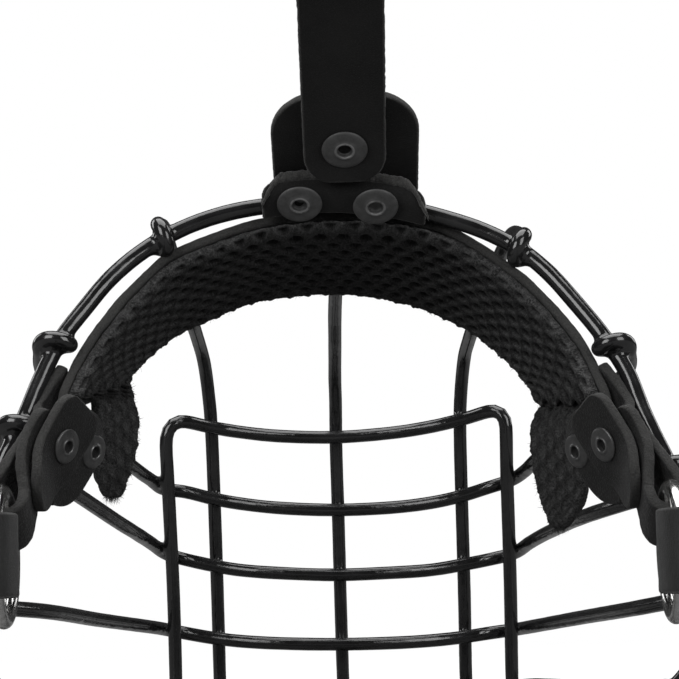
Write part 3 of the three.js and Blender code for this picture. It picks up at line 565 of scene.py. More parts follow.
rim_line = resample(spline(RIM, 40, closed=True, centripetal=True), WIRE_STEP, True)
rim_tangents = tangents(rim_line, True)


def hook(target, advance=1.0):
    """free end of a wire bent over the rim, from its tucked end to where it leaves forwards"""
    i = int(np.argmin(((rim_line - vec(target)) ** 2).sum(1)))
    center, along = rim_line[i], rim_tangents[i]
    if abs(along[2]) > 1e-6 and along[2] < 0:
        along = -along
    outward = center - vec([0, center[1], 70])
    outward = unit(outward - along * (outward @ along))
    rearward = np.cross(along, outward)
    if rearward[1] > 0:
        rearward = -rearward
    out = []
    for angle in np.arange(HOOK_START, HOOK_END, -15.0):
        t = math.radians(angle)
        tuck = max(0.0, (angle - HOOK_TUCK) / (HOOK_START - HOOK_TUCK))
        radius = HOOK_R - 2.1 * tuck * tuck
        drift = advance * (angle + 35) / 360.0 * HOOK_PITCH
        out.append(center + (outward * math.cos(t) + rearward * math.sin(t)) * radius
                   + along * drift)
    return out


def nose_wire(top, over, under, bottom):
    """over the nose, down the front and back under the chin; top is None for a plain start"""
    start = hook(top, -0.75) if top else []
    return start + over + under + hook(bottom, 0.6)[::-1]


def hooked(left, points, right):
    return hook(left) + points + hook(right)[::-1]


def wire_paths():
    z = UNDER_Z
    right_leg = [(-p[0] + 0.4, p[1] + 0.6, p[2]) for p in LEFT_LEG]
    return {
        "middle_wire": nose_wire(
            None, NOSE_MIDDLE,
            at_x(0, [(64.2, 12), (62.2, 6.4), (57.4, 2.8), (52, z + 0.05), (47, z), (30, z),
                     (0, z), (-20, z)]),
            (0, -38, 5.95)),
        "left_nose_wire": nose_wire(
            (-38.8, -75.7, 131.2), NOSE_LEFT,
            at_x(-36, [(56.4, 12), (54.6, 6.4), (49.6, 2.8), (44.6, z + 0.05), (39, z),
                       (20, z), (-10, z), (-36, z + 0.4)]),
            (-36, -51.5, 8.6)),
        "right_nose_wire": nose_wire(
            (44.5, -76.6, 125.9), NOSE_RIGHT,
            at_x(36, [(55.2, 12), (53.6, 6.4), (48.6, 2.8), (43.6, z + 0.05), (38, z),
                      (20, z), (-10, z), (-36, z + 0.4)]),
            (36, -51.5, 8.6)),
        "front_frame_wire": hooked(
            (-61.5, -69.8, 13.6), LEFT_LEG[::-1] + FRONT_ARCH + right_leg,
            (61.5, -69.8, 13.2)),
        "upper_cheek_wire": hooked((-64.6, -88, 102.6), UPPER_CHEEK, (66.2, -88, 98)),
        "middle_cheek_wire": hooked((-72.6, -96.8, 82.5), MIDDLE_CHEEK, (76.8, -99.6, 69.2)),
        "lower_cheek_wire": hooked((-83.6, -98.5, 44), LOWER_CHEEK, (83.8, -98.3, 42)),
        "chin_wire": hooked((-75.8, -83.4, 21.4), CHIN, (73.2, -80, 17.6)),
        "underside_cross_wire": [
            (-53.2, 0, 6.05), (-20, 0.6, 6.05), (20, 0.6, 6.05), (53.2, 0, 6.05)],
    }


wire_lines = {"rim_wire": rim_line}
for wire_name, path in wire_paths().items():
    wire_lines[wire_name] = smooth_line(resample(spline(path, 30), WIRE_STEP), 12)


def tree_without(name):
    """search tree over the points of all the other wires"""
    points = np.vstack([line for key, line in wire_lines.items() if key != name])
    tree = kdtree.KDTree(len(points))
    for i, p in enumerate(points):
        tree.insert(p, i)
    tree.balance()
    return tree


def smooth_min(a, b, k):
    h = max(k - abs(a - b), 0.0) / k
    return min(a, b) - h * h * k * 0.25


def coated_radius(center, direction, radius, tree):
    """swell the coating outwards until it meets the fillet to the nearest wire"""
    reach = radius
    for _ in range(9):
        other = tree.find(center + direction * reach)[2] - WIRE_R
        field = smooth_min(reach - radius, other, BLEND)
        if field > -0.01 or reach > radius + MAX_FILLET:
            break
        reach += max(-field, 0.02) * 0.95
    return min(reach, radius + MAX_FILLET)


def wire_piece(name):
    line = wire_lines[name]
    closed = name == "rim_wire"
    radius = RIM_R if closed else WIRE_R
    tree = tree_without(name)
    nearest = np.array([tree.find(p)[2] for p in line])
    keep = (nearest < BLEND_REACH) | (np.arange(len(line)) % 4 == 0)
    keep[0] = keep[-1] = True
    along = tangents(line, closed)
    normals = carried_normals(along, [0.3, 0.2, 1.0])
    if closed:   # spread the closing twist over the loop
        end = unit(normals[-1] - along[0] * (normals[-1] @ along[0]))
        twist = math.atan2(np.cross(normals[0], end) @ along[0], normals[0] @ end)
        for i in range(len(line)):
            a = -twist * i / len(line)
            normals[i] = normals[i] * math.cos(a) + np.cross(along[i], normals[i]) * math.sin(a)
    binormals = np.cross(along, normals)
    stations = [(i, 1.0, 0.0) for i in np.where(keep)[0]]
    if not closed:
        stations = capped(stations, len(line) - 1, radius, WIRE_CAPS)
    verts = []
    for i, factor, offset in stations:
        center = line[i] + along[i] * offset
        # a little unevenness in the coating
        lump = 1.0 + 0.018 * noise_at(center, 0.11) + 0.012 * noise_at(center, 0.45)
        for a in np.linspace(0, 2 * math.pi, WIRE_SIDES, endpoint=False):
            direction = normals[i] * math.cos(a) + binormals[i] * math.sin(a)
            reach = radius * factor * lump
            if nearest[i] < BLEND_REACH and factor > 0.5:
                reach = coated_radius(center, direction, reach, tree)
            verts.append(center + direction * reach)
    faces = ring_faces(len(stations), WIRE_SIDES, closed)
    register(new_mesh("visual_" + name, verts, faces, WIRE), "basket")


for wire_name in wire_lines:
    wire_piece(wire_name)

# ------------------------------------------------------------------ flat leather
# stations close to each end of a strip, in edge radii
END_STATIONS = [0, .04, .13, .3, .5, .75, 1.0, 1.4, 2.0, 2.8, 3.8]


def profile(half_w, half_t, edge_r, cells):
    """closed outline of a flat section with rounded edges: x, y, edge weight"""
    e = max(min(edge_r, half_t * 0.98, half_w * 0.98), 0.02)
    w, t = half_w - e, half_t - e
    xs = np.linspace(-w, w, cells + 1)

    def corner(x, y, angles):
        return [(x + e * math.cos(a), y + e * math.sin(a), 1.0) for a in np.radians(angles)]

    return ([(x, half_t, 0.0) for x in xs]
            + corner(w, t, np.linspace(90, 0, 4)[1:])
            + corner(w, -t, np.linspace(0, -90, 4)[:-1])
            + [(x, -half_t, 0.0) for x in xs[::-1]]
            + corner(-w, -t, np.linspace(-90, -180, 4)[1:])
            + corner(-w, t, np.linspace(180, 90, 4)[:-1]))


def strip(name, line, sides, half_width, mat, cells, step, edge_r=0.8, wobble=0.05,
          ragged=0.0, warp=None, square=True):
    """flat leather piece along a line; sides are its width directions and half_width a
    function of the place and the total length"""
    lengths = lengths_along(line)
    total = lengths[-1]
    half_t = LEATHER / 2
    middle = np.linspace(edge_r * 4, total - edge_r * 4, max(3, int(total / step)))
    at = sorted(set([round(x * edge_r, 4) for x in END_STATIONS]
                    + [round(total - x * edge_r, 4) for x in END_STATIONS]
                    + [round(x, 4) for x in middle]))
    at = vec([x for x in at if 0 <= x <= total])
    centers = sample(at, lengths, line)
    across = unit(sample(at, lengths, sides))
    along = unit(sample(at, lengths, tangents(line)))
    if square:
        across = unit(across - along * (across * along).sum(1, keepdims=True))
    normals = unit(np.cross(along, across))
    verts, edge = [], []
    for i, s in enumerate(at):
        inset = 0.0   # rounds the two ends over
        for d in (s, total - s):
            if d < edge_r:
                round_off = math.sqrt(max(0.0, edge_r * edge_r - (edge_r - d) ** 2))
                inset = max(inset, edge_r - round_off)
        section = profile(max(half_width(s, total) - inset, 0.3), max(half_t - inset, 0.12),
                          edge_r, cells)
        for x, y, weight in section:
            p = centers[i] + across[i] * x + normals[i] * y
            p = p + normals[i] * wobble * (2.2 * noise_at(p, 0.16) + noise_at(p, 0.7))
            if weight:
                rag = ragged * (noise_at(p, 1.9) + 0.5 * noise_at(p, 5.0))
                p = p + across[i] * np.sign(x) * rag
            verts.append(warp(p) if warp else p)
            edge.append(max(weight, 1.0 if inset > 0.02 * edge_r else 0.0))
    return new_mesh(name, verts, ring_faces(len(at), len(section)), mat, {"edge": edge})


def rounded_plan(width, start_r, end_r):
    """half width along a strap with rounded plan ends"""
    def half_width(s, total):
        h = width / 2
        for r, d in ((start_r, s), (end_r, total - s)):
            if d < r:
                h -= r - math.sqrt(max(0.0, r * r - (r - d) ** 2))
        return max(h, 0.6)
    return half_width


def blended_side(keys, u):
    """width direction at fraction u, from (fraction, direction) keys"""
    for i in range(1, len(keys)):
        (u0, side0), (u1, side1) = keys[i - 1], keys[i]
        if u <= u1 or i == len(keys) - 1:
            k = smoothstep(clamp01((u - u0) / (u1 - u0)))
            return unit(side0 * (1 - k) + side1 * k)


def belt(name, points, side, width, mat, start_r=0.0, end_r=0.0, **kw):
    """strap through points; side is one width direction or a list of keys"""
    line = smooth_line(resample(spline(points, 24), 0.5), 4)
    if isinstance(side, list):
        sides = vec([blended_side(side, u) for u in np.linspace(0, 1, len(line))])
    else:
        sides = np.tile(unit(side), (len(line), 1))
    return strip("visual_" + name, line, sides, rounded_plan(width, start_r, end_r), mat, **kw)


def leather_belt(name, body, *args, **kw):
    register(belt(name, *args, **kw), body)


# ------------------------------------------------------------------ turned and bent metal
def lathe(name, center, axis, prof, mat, worn_rings=()):
    """turned part: prof is (radius, height) from one end of the axis to the other"""
    sides = 48
    verts, edge = [], []
    for k, (r, z) in enumerate(prof):
        verts += circle(center, axis, max(r, 1e-3), z, sides)
        edge += [1.0 if k in worn_rings else 0.0] * sides
    return new_mesh("visual_" + name, verts, ring_faces(len(prof), sides), mat, {"edge": edge})


def rivet(name, body, center, out, head_r, shank, mat, hole=1.75):
    """tubular rivet: flat disc head with a rolled lip round its hollow, clenched far end"""
    r, z = head_r, -shank
    prof = [
        # hollow, then its rolled lip
        (0.02, -0.9), (hole * 0.62, -0.95), (hole * 0.9, -0.6), (hole * 0.98, 0.1),
        (hole, 0.62), (hole * 1.08, 0.86), (hole * 1.2, 0.95), (hole * 1.34, 0.88),
        (hole * 1.46, 0.72),
        # head
        (r * 0.62, 0.66), (r * 0.80, 0.62), (r * 0.90, 0.56), (r * 0.955, 0.46),
        (r * 0.99, 0.30), (r, 0.12), (r * 0.99, 0.0), (r * 0.95, -0.02),
        # shank and clenched end
        (1.5, -0.02), (1.5, z + 0.4), (r * 0.80, z + 0.35), (r * 0.86, z + 0.2),
        (r * 0.86, z + 0.02), (r * 0.8, z - 0.25), (r * 0.55, z - 0.5), (1.9, z - 0.6),
        (1.55, z - 0.45), (1.3, z), (0.02, z + 0.1)]
    obj = lathe(name, center, out, prof, mat, worn_rings=(5, 6, 7))
    register(obj, body)


def ring(name, center, nu=96, nv=20):
    """cheek ring lying in a plane of constant x"""
    verts = []
    for i in range(nu):
        a = 2 * math.pi * i / nu
        for j in range(nv):
            b = 2 * math.pi * j / nv
            r = RING_R + RING_WIRE_R * math.cos(b)
            verts.append(center + vec([RING_WIRE_R * math.sin(b), r * math.cos(a),
                                       r * math.sin(a)]))
    register(new_mesh("visual_" + name, verts, ring_faces(nu, nv, True), STEEL), name)


def tube(name, body, line, radius, closed=False, sides=18):
    """round steel bar along a line"""
    along = tangents(line, closed)
    normals = carried_normals(along, [0.2, 0.4, 1.0])
    stations = [(i, 1.0, 0.0) for i in range(len(line))]
    if not closed:
        stations = capped(stations, len(line) - 1, radius,
                          [(0.3, 0.95), (0.72, 0.7), (0.94, 0.34)])
    verts = []
    for i, factor, offset in stations:
        binormal = np.cross(along[i], normals[i])
        for a in np.linspace(0, 2 * math.pi, sides, endpoint=False):
            direction = normals[i] * math.cos(a) + binormal * math.sin(a)
            verts.append(line[i] + along[i] * offset + direction * radius * factor)
    faces = ring_faces(len(stations), sides, closed)
    register(new_mesh("visual_" + name, verts, faces, STEEL), body)


# ------------------------------------------------------------------ nose pad
def outward(p):
    """direction from the middle of the basket out to p, without its Y part"""
    return unit([p[0] * 0.9, 0, p[2] - 62])


pad_rear = vec([vec(p) - outward(p) * (LEATHER / 2 + 0.15) for p in PAD_REAR])
pad_front = vec([vec(p) + outward(p) * (MESH + GAP + LEATHER / 2) for p in PAD_FRONT])


def pad_edge(points, left_step, right_step):
    """edge line carried on at both ends, in two half steps"""
    line = spline(points, 20)
    left, right = vec(left_step), vec(right_step)
    return np.concatenate([[line[0] + left], [line[0] + left * 0.5], line,
                           [line[-1] + right * 0.5], [line[-1] + right]])


def nose_pad():
    rear = pad_edge(pad_rear, (-1.1, -1.2, -5.6), (1.1, -1.4, -5.6))
    front = pad_edge(pad_front, (1.0, 0.0, -4.2), (-1.0, 0.0, -4.2))
    line = (rear + front) / 2
    lengths = lengths_along(line)
    half = np.linalg.norm(front - rear, axis=1) / 2
    obj = strip("visual_nose_pad_leather", line, unit(front - rear),
                lambda s, total: np.interp(s, lengths, half), BAND, cells=26, step=1.2,
                edge_r=0.9, wobble=0.10, ragged=0.10, square=False)
    register(obj, "basket")


nose_pad()

# ------------------------------------------------------------------ spacer mesh lining
HOLE_PITCH, ROW_PITCH = 5.25, 5.1        # staggered rows of holes, along and across
HOLE_HALF_X, HOLE_HALF_Y = 1.80, 2.15
LINING_STEP = 0.42
COLUMNS, BACK_COLUMNS = 112, 4           # cells across the face and across the back
ROW = COLUMNS + 1                        # vertices across the face
FLAP_LENGTH = 33.0                       # loose cloth at each end


def lining_frame():
    """stations, rear edge, and directions along, across and through the cloth, and widths"""
    offset = (LEATHER + MESH) / 2 + 0.05
    rear, front = [], []
    for a, b in zip(pad_rear, pad_front):
        for edge, p in ((rear, a * 1.01 + b * -0.01), (front, a * -0.02 + b * 1.02)):
            edge.append(p - outward(p) * offset)

    def edge_line(left, middle, right):
        left, right = ([vec(p) + outward(p) * 0.6 for p in flap] for flap in (left, right))
        return smooth_line(spline(left + middle + right, 24, centripetal=True), 10)

    rear = edge_line(FLAP_L_REAR, rear, FLAP_R_REAR)
    front = edge_line(FLAP_L_FRONT, front, FLAP_R_FRONT)
    lengths = lengths_along((rear + front) / 2)
    at = np.linspace(0, lengths[-1], int(lengths[-1] / LINING_STEP) + 1)
    rear, front = sample(at, lengths, rear), sample(at, lengths, front)
    middle = (rear + front) / 2
    along = tangents(middle)
    across = unit(front - rear)
    normals = unit(np.cross(along, across))
    for i in range(len(normals)):
        if normals[i] @ outward(middle[i]) > 0:
            normals[i] = -normals[i]
    return at, rear, along, across, normals, np.linalg.norm(front - rear, axis=1)


def hole_distance(s, t):
    """distance to the nearest hole centre in hole radii; s along, t across the cloth"""
    row = round(t / ROW_PITCH)
    nearest = 9.0
    for r in (row - 1, row, row + 1):
        place = (s - (r % 2) * HOLE_PITCH / 2) / HOLE_PITCH
        c = round(place)
        dx = (place - c) * HOLE_PITCH + 0.18 * noise_2d(c * 1.7, r * 2.3 + 40)
        dy = t - r * ROW_PITCH + 0.18 * noise_2d(c * 1.3 + 7, r * 1.9)
        d = (abs(dx / HOLE_HALF_X) ** 1.7 + abs(dy / HOLE_HALF_Y) ** 1.7) ** (1 / 1.7)
        nearest = min(nearest, d)
    return nearest


def lining_sheet(frame):
    """vertices, faces and attributes of the cloth"""
    at, rear, _, across, normals, width = frame
    total = at[-1]
    last = len(at) - 1
    verts, hole, place, raw = [], [], [], []
    for i, s in enumerate(at):
        # uneven cut edges, front and rear
        t1 = width[i] + (0.7 * noise_2d(s * 0.35, 3.1) + 0.45 * noise_2d(s * 1.3, 9.0)
                         + 0.25 * noise_2d(s * 3.1, 5.0))
        t0 = (0.12 * math.cos(2 * math.pi * s / HOLE_PITCH + 1.2)
              + 0.5 * noise_2d(s * 0.5, 17.0) + 0.3 * noise_2d(s * 2.2, 27.0))
        loose = max(clamp01((FLAP_LENGTH - s) / 9.0),
                    clamp01((FLAP_LENGTH - (total - s)) / 9.0))
        for j in range(ROW):
            t = t0 + (t1 - t0) * (j / COLUMNS)
            distance = hole_distance(s, t)
            depth = smoothstep(clamp01((1.22 - distance) / 0.46))
            # holes fade at the edges and on the loose flaps
            edge = min(t - t0, t1 - t, s, total - s)
            flat = clamp01(edge / 1.4)
            back = clamp01((t - t0) / 3.4)
            depth *= 0.25 + 0.75 * flat
            depth *= smoothstep(clamp01((t1 - t - 0.5) / 1.5)) * (1 - 0.72 * loose)
            depth *= 0.45 + 0.55 * back
            lip = math.exp(-((distance - 1.45) / 0.28) ** 2) * 0.22
            y = (MESH / 2 - 2.5 * depth + lip + 0.22 * noise_2d(s * 2.3, t * 2.3)
                 + 0.12 * noise_2d(s * 5.5, t * 5.5))
            y -= 0.9 * (1 - min(1.0, edge / 1.1)) ** 2
            fray = 0.22 * noise_2d(s * 3.0, t * 3 + 20) * (1 - flat)
            p = rear[i] + across[i] * (t + fray) + normals[i] * y
            # the middle of the rear edge lies further back and up
            lift = math.exp(-((p[0] - 4.0) / 27.0) ** 4) * max(0.0, 1.0 - (t - t0) / 4.2)
            if lift > 0.0:
                p = p + vec([0.0, -2.4, 1.1]) * smoothstep(lift)
            verts.append(p)
            hole.append(depth)
            raw.append(max(0.95 * (1 - back), 0.28 * loose, 0.6 * (1 - flat)))
            place.append((s * S, t * S, 0))
    faces = [(i * ROW + j, (i + 1) * ROW + j, (i + 1) * ROW + j + 1, i * ROW + j + 1)
             for i in range(last) for j in range(COLUMNS)]
    # coarse back of the cloth, joined to the face all round
    base = len(verts)
    back_row = BACK_COLUMNS + 1
    for i in range(last + 1):
        for j in range(back_row):
            k = i * ROW + j * COLUMNS // BACK_COLUMNS
            inset = 0.0 if 0 < j < BACK_COLUMNS else 0.35
            verts.append(rear[i] + across[i] * (place[k][1] / S)
                         - normals[i] * (MESH / 2 - inset))
            hole.append(0.0)
            raw.append(0.3)
            place.append(place[k])
    for i in range(last):
        a, b = base + i * back_row, base + (i + 1) * back_row
        face_a, face_b = i * ROW, (i + 1) * ROW
        for j in range(BACK_COLUMNS):
            faces.append((a + j + 1, b + j + 1, b + j, a + j))
        faces.append((a, b, face_b, face_a))
        faces.append((face_a + COLUMNS, face_b + COLUMNS, b + BACK_COLUMNS, a + BACK_COLUMNS))
    end = base + last * back_row
    faces.append(tuple([*range(ROW)] + [base + j for j in range(BACK_COLUMNS, -1, -1)]))
    faces.append(tuple([last * ROW + j for j in range(COLUMNS, -1, -1)]
                       + [end + j for j in range(back_row)]))
    return verts, faces, {"hole": hole, "st": place, "cut": raw}


def fibre(start, direction, length, radius=0.055):
    """tapering bent hair: four rings of three points"""
    d = unit(direction)
    x = unit(np.cross(d, rng.normal(size=3)))
    y = np.cross(d, x)
    bend = rng.normal(size=3) * 0.5
    points = []
    for k in range(4):
        u = k / 3
        center = start + d * length * u + bend * length * 0.35 * u * u
        r = radius * (1 - 0.7 * u)
        for q in range(3):
            a = q * 2 * math.pi / 3
            points.append(center + (x * math.cos(a) + y * math.sin(a)) * r)
    return points


def lining_fibres(frame, verts, hole):
    """short stray fibres standing out of the cut edges and the surface"""
    at, _, along, across, normals, _ = frame
    last = len(at) - 1
    points = []
    # front and rear edges
    for _ in range(1500):
        i = int(rng.integers(2, last - 2))
        front = rng.random() < 0.6
        p = verts[i * ROW + (COLUMNS if front else 0)] + normals[i] * rng.uniform(-1.2, 0.2)
        d = (across[i] * (1 if front else -1) * rng.uniform(0.5, 1.2)
             + along[i] * rng.normal() * 0.8 + normals[i] * rng.normal() * 0.4)
        points += fibre(p, d, rng.uniform(0.5, 1.5))
    # surface between the holes
    for _ in range(1500):
        i, j = int(rng.integers(1, last)), int(rng.integers(1, COLUMNS))
        if hole[i * ROW + j] > 0.3:
            continue
        d = along[i] * rng.normal() + across[i] * rng.normal() + normals[i] * 0.7
        points += fibre(verts[i * ROW + j] - normals[i] * 0.1, d, rng.uniform(0.5, 1.3), 0.05)
    # loose flaps, and the strip by the rear edge
    for _ in range(2600):
        if rng.random() < 0.7:
            i = int(rng.integers(1, int(last * 0.17)))
            i = i if rng.random() < 0.5 else last - i
            j = int(rng.integers(2, COLUMNS - 1))
        else:
            i = int(rng.integers(int(last * 0.15), int(last * 0.85)))
            j = int(rng.integers(1, 14))
        d = along[i] * rng.normal() + across[i] * rng.normal() + normals[i] * 0.45
        points += fibre(verts[i * ROW + j] - normals[i] * 0.1, d, rng.uniform(0.6, 1.3), 0.075)
    # lower ends
    for sign, i in ((-1, 0), (1, last)):
        for _ in range(130):
            j = int(rng.integers(0, COLUMNS))
            p = verts[i * ROW + j] - normals[i] * rng.uniform(0, 1.5)
            d = (along[i] * sign * rng.uniform(0.5, 1.4) + across[i] * rng.normal() * 0.5
                 + normals[i] * rng.normal() * 0.3)
            points += fibre(p, d, rng.uniform(0.6, 2.0))
    faces = [tuple(start + k for k in f) for start in range(0, len(points), 12)
             for f in ring_faces(4, 3, cap=False)]
    attrs = {"hole": np.zeros(len(points)), "st": vec(points) * (S, S, 0),
             "cut": np.full(len(points), 0.4)}
    return new_mesh("mesh_lining_fibres", points, faces, CLOTH, attrs)


def lining():
    frame = lining_frame()
    verts, faces, attrs = lining_sheet(frame)
    sheet = new_mesh("visual_nose_pad_mesh_lining", verts, faces, CLOTH, attrs)
    join(sheet, lining_fibres(frame, verts, attrs["hole"]))
    register(sheet, "basket")


lining()

# ------------------------------------------------------------------ top tab and head strap
FACE = LEATHER / 2 + GAP      # leather centre to the seat of a rivet head


def arch_drop(x):
    """fall of the inner leather to both sides"""
    return 0.0062 * (x + 2) ** 2


def raw_lip():
    """thick raw lip along the top edge of the inner leather"""
    count = 130
    verts = []
    for i, x in enumerate(np.linspace(-15.6, 24.2, count)):
        center = vec([x, -78.7 - 0.20 * math.cos(x * 0.35),
                      144.1 - arch_drop(x) - 0.30 * max(0, abs(x - 4) - 14.5) ** 1.8])
        taper = min(1.0, 0.35 + min(i, count - 1 - i) / 9)
        for a in np.linspace(0, 2 * math.pi, 18, endpoint=False):
            d = vec([0, math.cos(a) * 1.62, math.sin(a) * 1.5])
            p = center + d * taper
            verts.append(p + unit(d) * (0.36 * noise_at(p, 0.8) + 0.26 * noise_at(p, 2.6)))
    return new_mesh("lip", verts, ring_faces(count, 18), LIP, {"edge": np.ones(len(verts))})


def top_tab():
    inner = belt(
        "top_tab_inner_leather",
        at_x(4.0, [(-74.7, 136.2), (-75.9, 137.4), (-77.9, 139.6), (-78.7, 142), (-78.6, 143.6)]),
        (1, 0, 0), 39, STRAP, end_r=3, cells=44, step=0.6, ragged=0.25,
        warp=lambda p: p - vec([0, 0, arch_drop(p[0])]))
    join(inner, raw_lip())
    register(inner, "basket")
    leather_belt(
        "top_tab_outer_leather", "basket",
        at_x(4.8, [(-67.4, 142), (-71.2, 144.2), (-75.4, 146.6), (-81, 149.6), (-86.9, 152.5),
                   (-92, 156.6), (-96, 160.2)]),
        (1, 0, 0), 35, STRAP, end_r=11, cells=40, step=0.8, ragged=0.08)
    tab_out = unit([0, -0.643, -0.766])
    strap_out = unit([0, -0.64, -0.77])
    # name, seat, direction of the head, lift, shank
    for name, seat, out, lift, shank in (
            ("top_rivet_left", (-6.5, -77.7, 139.05), tab_out, FACE + 0.5, 12.3),
            ("top_rivet_right", (11.6, -77.95, 138.35), tab_out, FACE + 1.2, 13.0),
            ("head_strap_rivet", (STRAP_X, -88.75, 149.45), strap_out, FACE, 7.6)):
        rivet(name, "basket", vec(seat) + out * lift, out, 5.4, shank, RIVET)


def head_strap():
    """from the tab up and back, with its rear end folded under"""
    leather_belt(
        "head_strap", "head_strap",
        at_x(STRAP_X, [
            (-82.1, 142.1), (-85.3, 145.85), (-88.8, 149.5), (-99.5, 158), (-111.5, 166.9),
            (-122.5, 175.7), (-140, 187), (-165, 197), (-190, 200.6), (-215, 199.8),
            (-235, 196), (-250, 190), (-261, 182), (-264, 174), (-257, 169.5), (-248, 173.5),
            (-240, 181.5), (-231, 189.6), (-221, 194.6), (-209, 197)]),
        (1, 0, 0), 19.5, STRAP, start_r=7, end_r=6, cells=26, step=0.9, ragged=0.16)
    up = unit([0, 0.13, 1])
    rivet("head_strap_loop_rivet", "head_strap", vec([STRAP_X, -219, 196.9]) + up * 5.3, up,
          4.4, 9.2, RIVET)


top_tab()
head_strap()


# ------------------------------------------------------------------ cheek pieces
def cheek(label, side, shift_x=0.0, shift_z=0.0):
    """strap looped through the ring, two tongues, two rivets and the ring"""
    def place(x, y, z):
        return vec([side * (x + shift_x), y, z + shift_z])

    def direction(x, y, z):
        return unit([side * x, y, z])

    # the loop turns about a point at the ring's upper front, on a slope of 50 degrees
    slope_y, slope_z = 0.6428, 0.766
    loop_y = RING_Y + (RING_R - 2.7) * slope_y
    loop_z = RING_Z + (RING_R - 2.7) * slope_z
    loop_r = RING_WIRE_R + 0.95 + LEATHER / 2

    def on_slope(x, d):
        return place(x, loop_y + d * slope_y, loop_z + d * slope_z)

    points = [
        place(63.0, -83.4, 98.2), place(64.9, -85.4, 93.4), place(66.3, -88.6, 88.0),
        place(67.2, -92.8, 83.8), place(69.0, -98.8, 79.5), place(71.8, -105.8, 74.0),
        on_slope(RING_X + loop_r - 1.0, 4.8)]
    points += [on_slope(RING_X + math.cos(a) * loop_r, -math.sin(a) * loop_r)
               for a in np.linspace(0, math.pi, 5)]
    points += [on_slope(68.3, 4.4), place(67.6, -107.6, 75.6), place(64.95, -104.6, 82.7),
               place(62.9, -103.1, 86.4)]
    start_a, start_b = direction(0.08, -0.99, -0.12), direction(0.21, -0.96, -0.19)
    at_ring, at_end = direction(0, -0.766, 0.643), direction(0.313, -0.775, 0.549)
    leather_belt(
        label + "_cheek_strap", "basket", points,
        [(0, start_a), (0.14, start_b), (0.46, at_ring), (0.72, at_ring), (0.93, at_end),
         (1, at_end)],
        13, BAND, start_r=3, end_r=4, cells=18, step=0.7, wobble=0.12, ragged=0.2)
    rear_seat = place(61.5, -103.6, 80.1)
    front_seat = place(56.9, -89.9, 79.5)
    leather_belt(
        label + "_inner_tongue", "basket",
        [place(56.6, -100.4, 89.4), place(61.4, -103.6, 80.2), place(64.4, -106.2, 74.0),
         place(65.7, -108.3, 68.2), place(65.9, -109.2, 65.6)],
        [(0, at_end), (0.45, at_end), (0.8, at_ring), (1, at_ring)],
        15.5, TONGUE, start_r=5, end_r=7.6, cells=20, step=0.7, edge_r=0.7)
    leather_belt(
        label + "_outer_tongue", "basket",
        [place(56.2, -89.2, 88.4), place(57.6, -92.0, 80.6), place(62.1, -95.3, 72.2),
         place(65.0, -97.6, 67.0)],
        at_end, 12.8, TONGUE, start_r=6, end_r=8.3, cells=20, step=0.7, edge_r=0.7)
    inward = direction(-0.82, -0.512, -0.256)
    for end, seat, shank in (("front", front_seat, 4.4), ("rear", rear_seat, 6.8)):
        rivet(f"{label}_{end}_rivet", "basket", seat + inward * (LEATHER / 2 + 0.3), inward,
              4.0, shank, EYELET, hole=1.35)
    ring(label + "_ring", place(RING_X, RING_Y, RING_Z))


cheek("left", -1)
cheek("right", 1, RIGHT_DX, RIGHT_DZ)

# ------------------------------------------------------------------ neck strap, two parts
RIGHT_Z = RING_Z + RIGHT_DZ
NECK_WIDTH = 18
FOLD_Y, FOLD_R = RING_Y - RING_R + 3.8, 3.6      # where a strap turns round its ring
BUCKLE_X, BAR_Y, ROLLER_Y = -72.6, -238.0, -261.0
BUCKLE_HEIGHT, BUCKLE_WIRE_R, BUCKLE_CORNER_R = 26.0, 1.6, 4.0
LANE_X = -75.7                                   # outer layer of the left strap


def fold(x, y, radius, start, end, count, z):
    """arc in a horizontal plane, angles in degrees"""
    angles = [math.radians(start + (end - start) * i / count) for i in range(count + 1)]
    return [(x + math.cos(a) * radius, y + math.sin(a) * radius, z) for a in angles]


def rounded_rectangle(u0, u1, v0, v1, radius, steps):
    """(u, v) points of four quarter circles"""
    out = []
    for u, v, start in ((u1 - radius, v1 - radius, 0), (u0 + radius, v1 - radius, 90),
                        (u0 + radius, v0 + radius, 180), (u1 - radius, v0 + radius, 270)):
        for i in range(steps + 1):
            a = math.radians(start + i * 90 / steps)
            out.append((u + math.cos(a) * radius, v + math.sin(a) * radius))
    return out


def neck_belt(name, points, **kw):
    return belt(name, points, (0, 0, 1), NECK_WIDTH, NECK, cells=20, step=0.9, ragged=0.12,
                **kw)


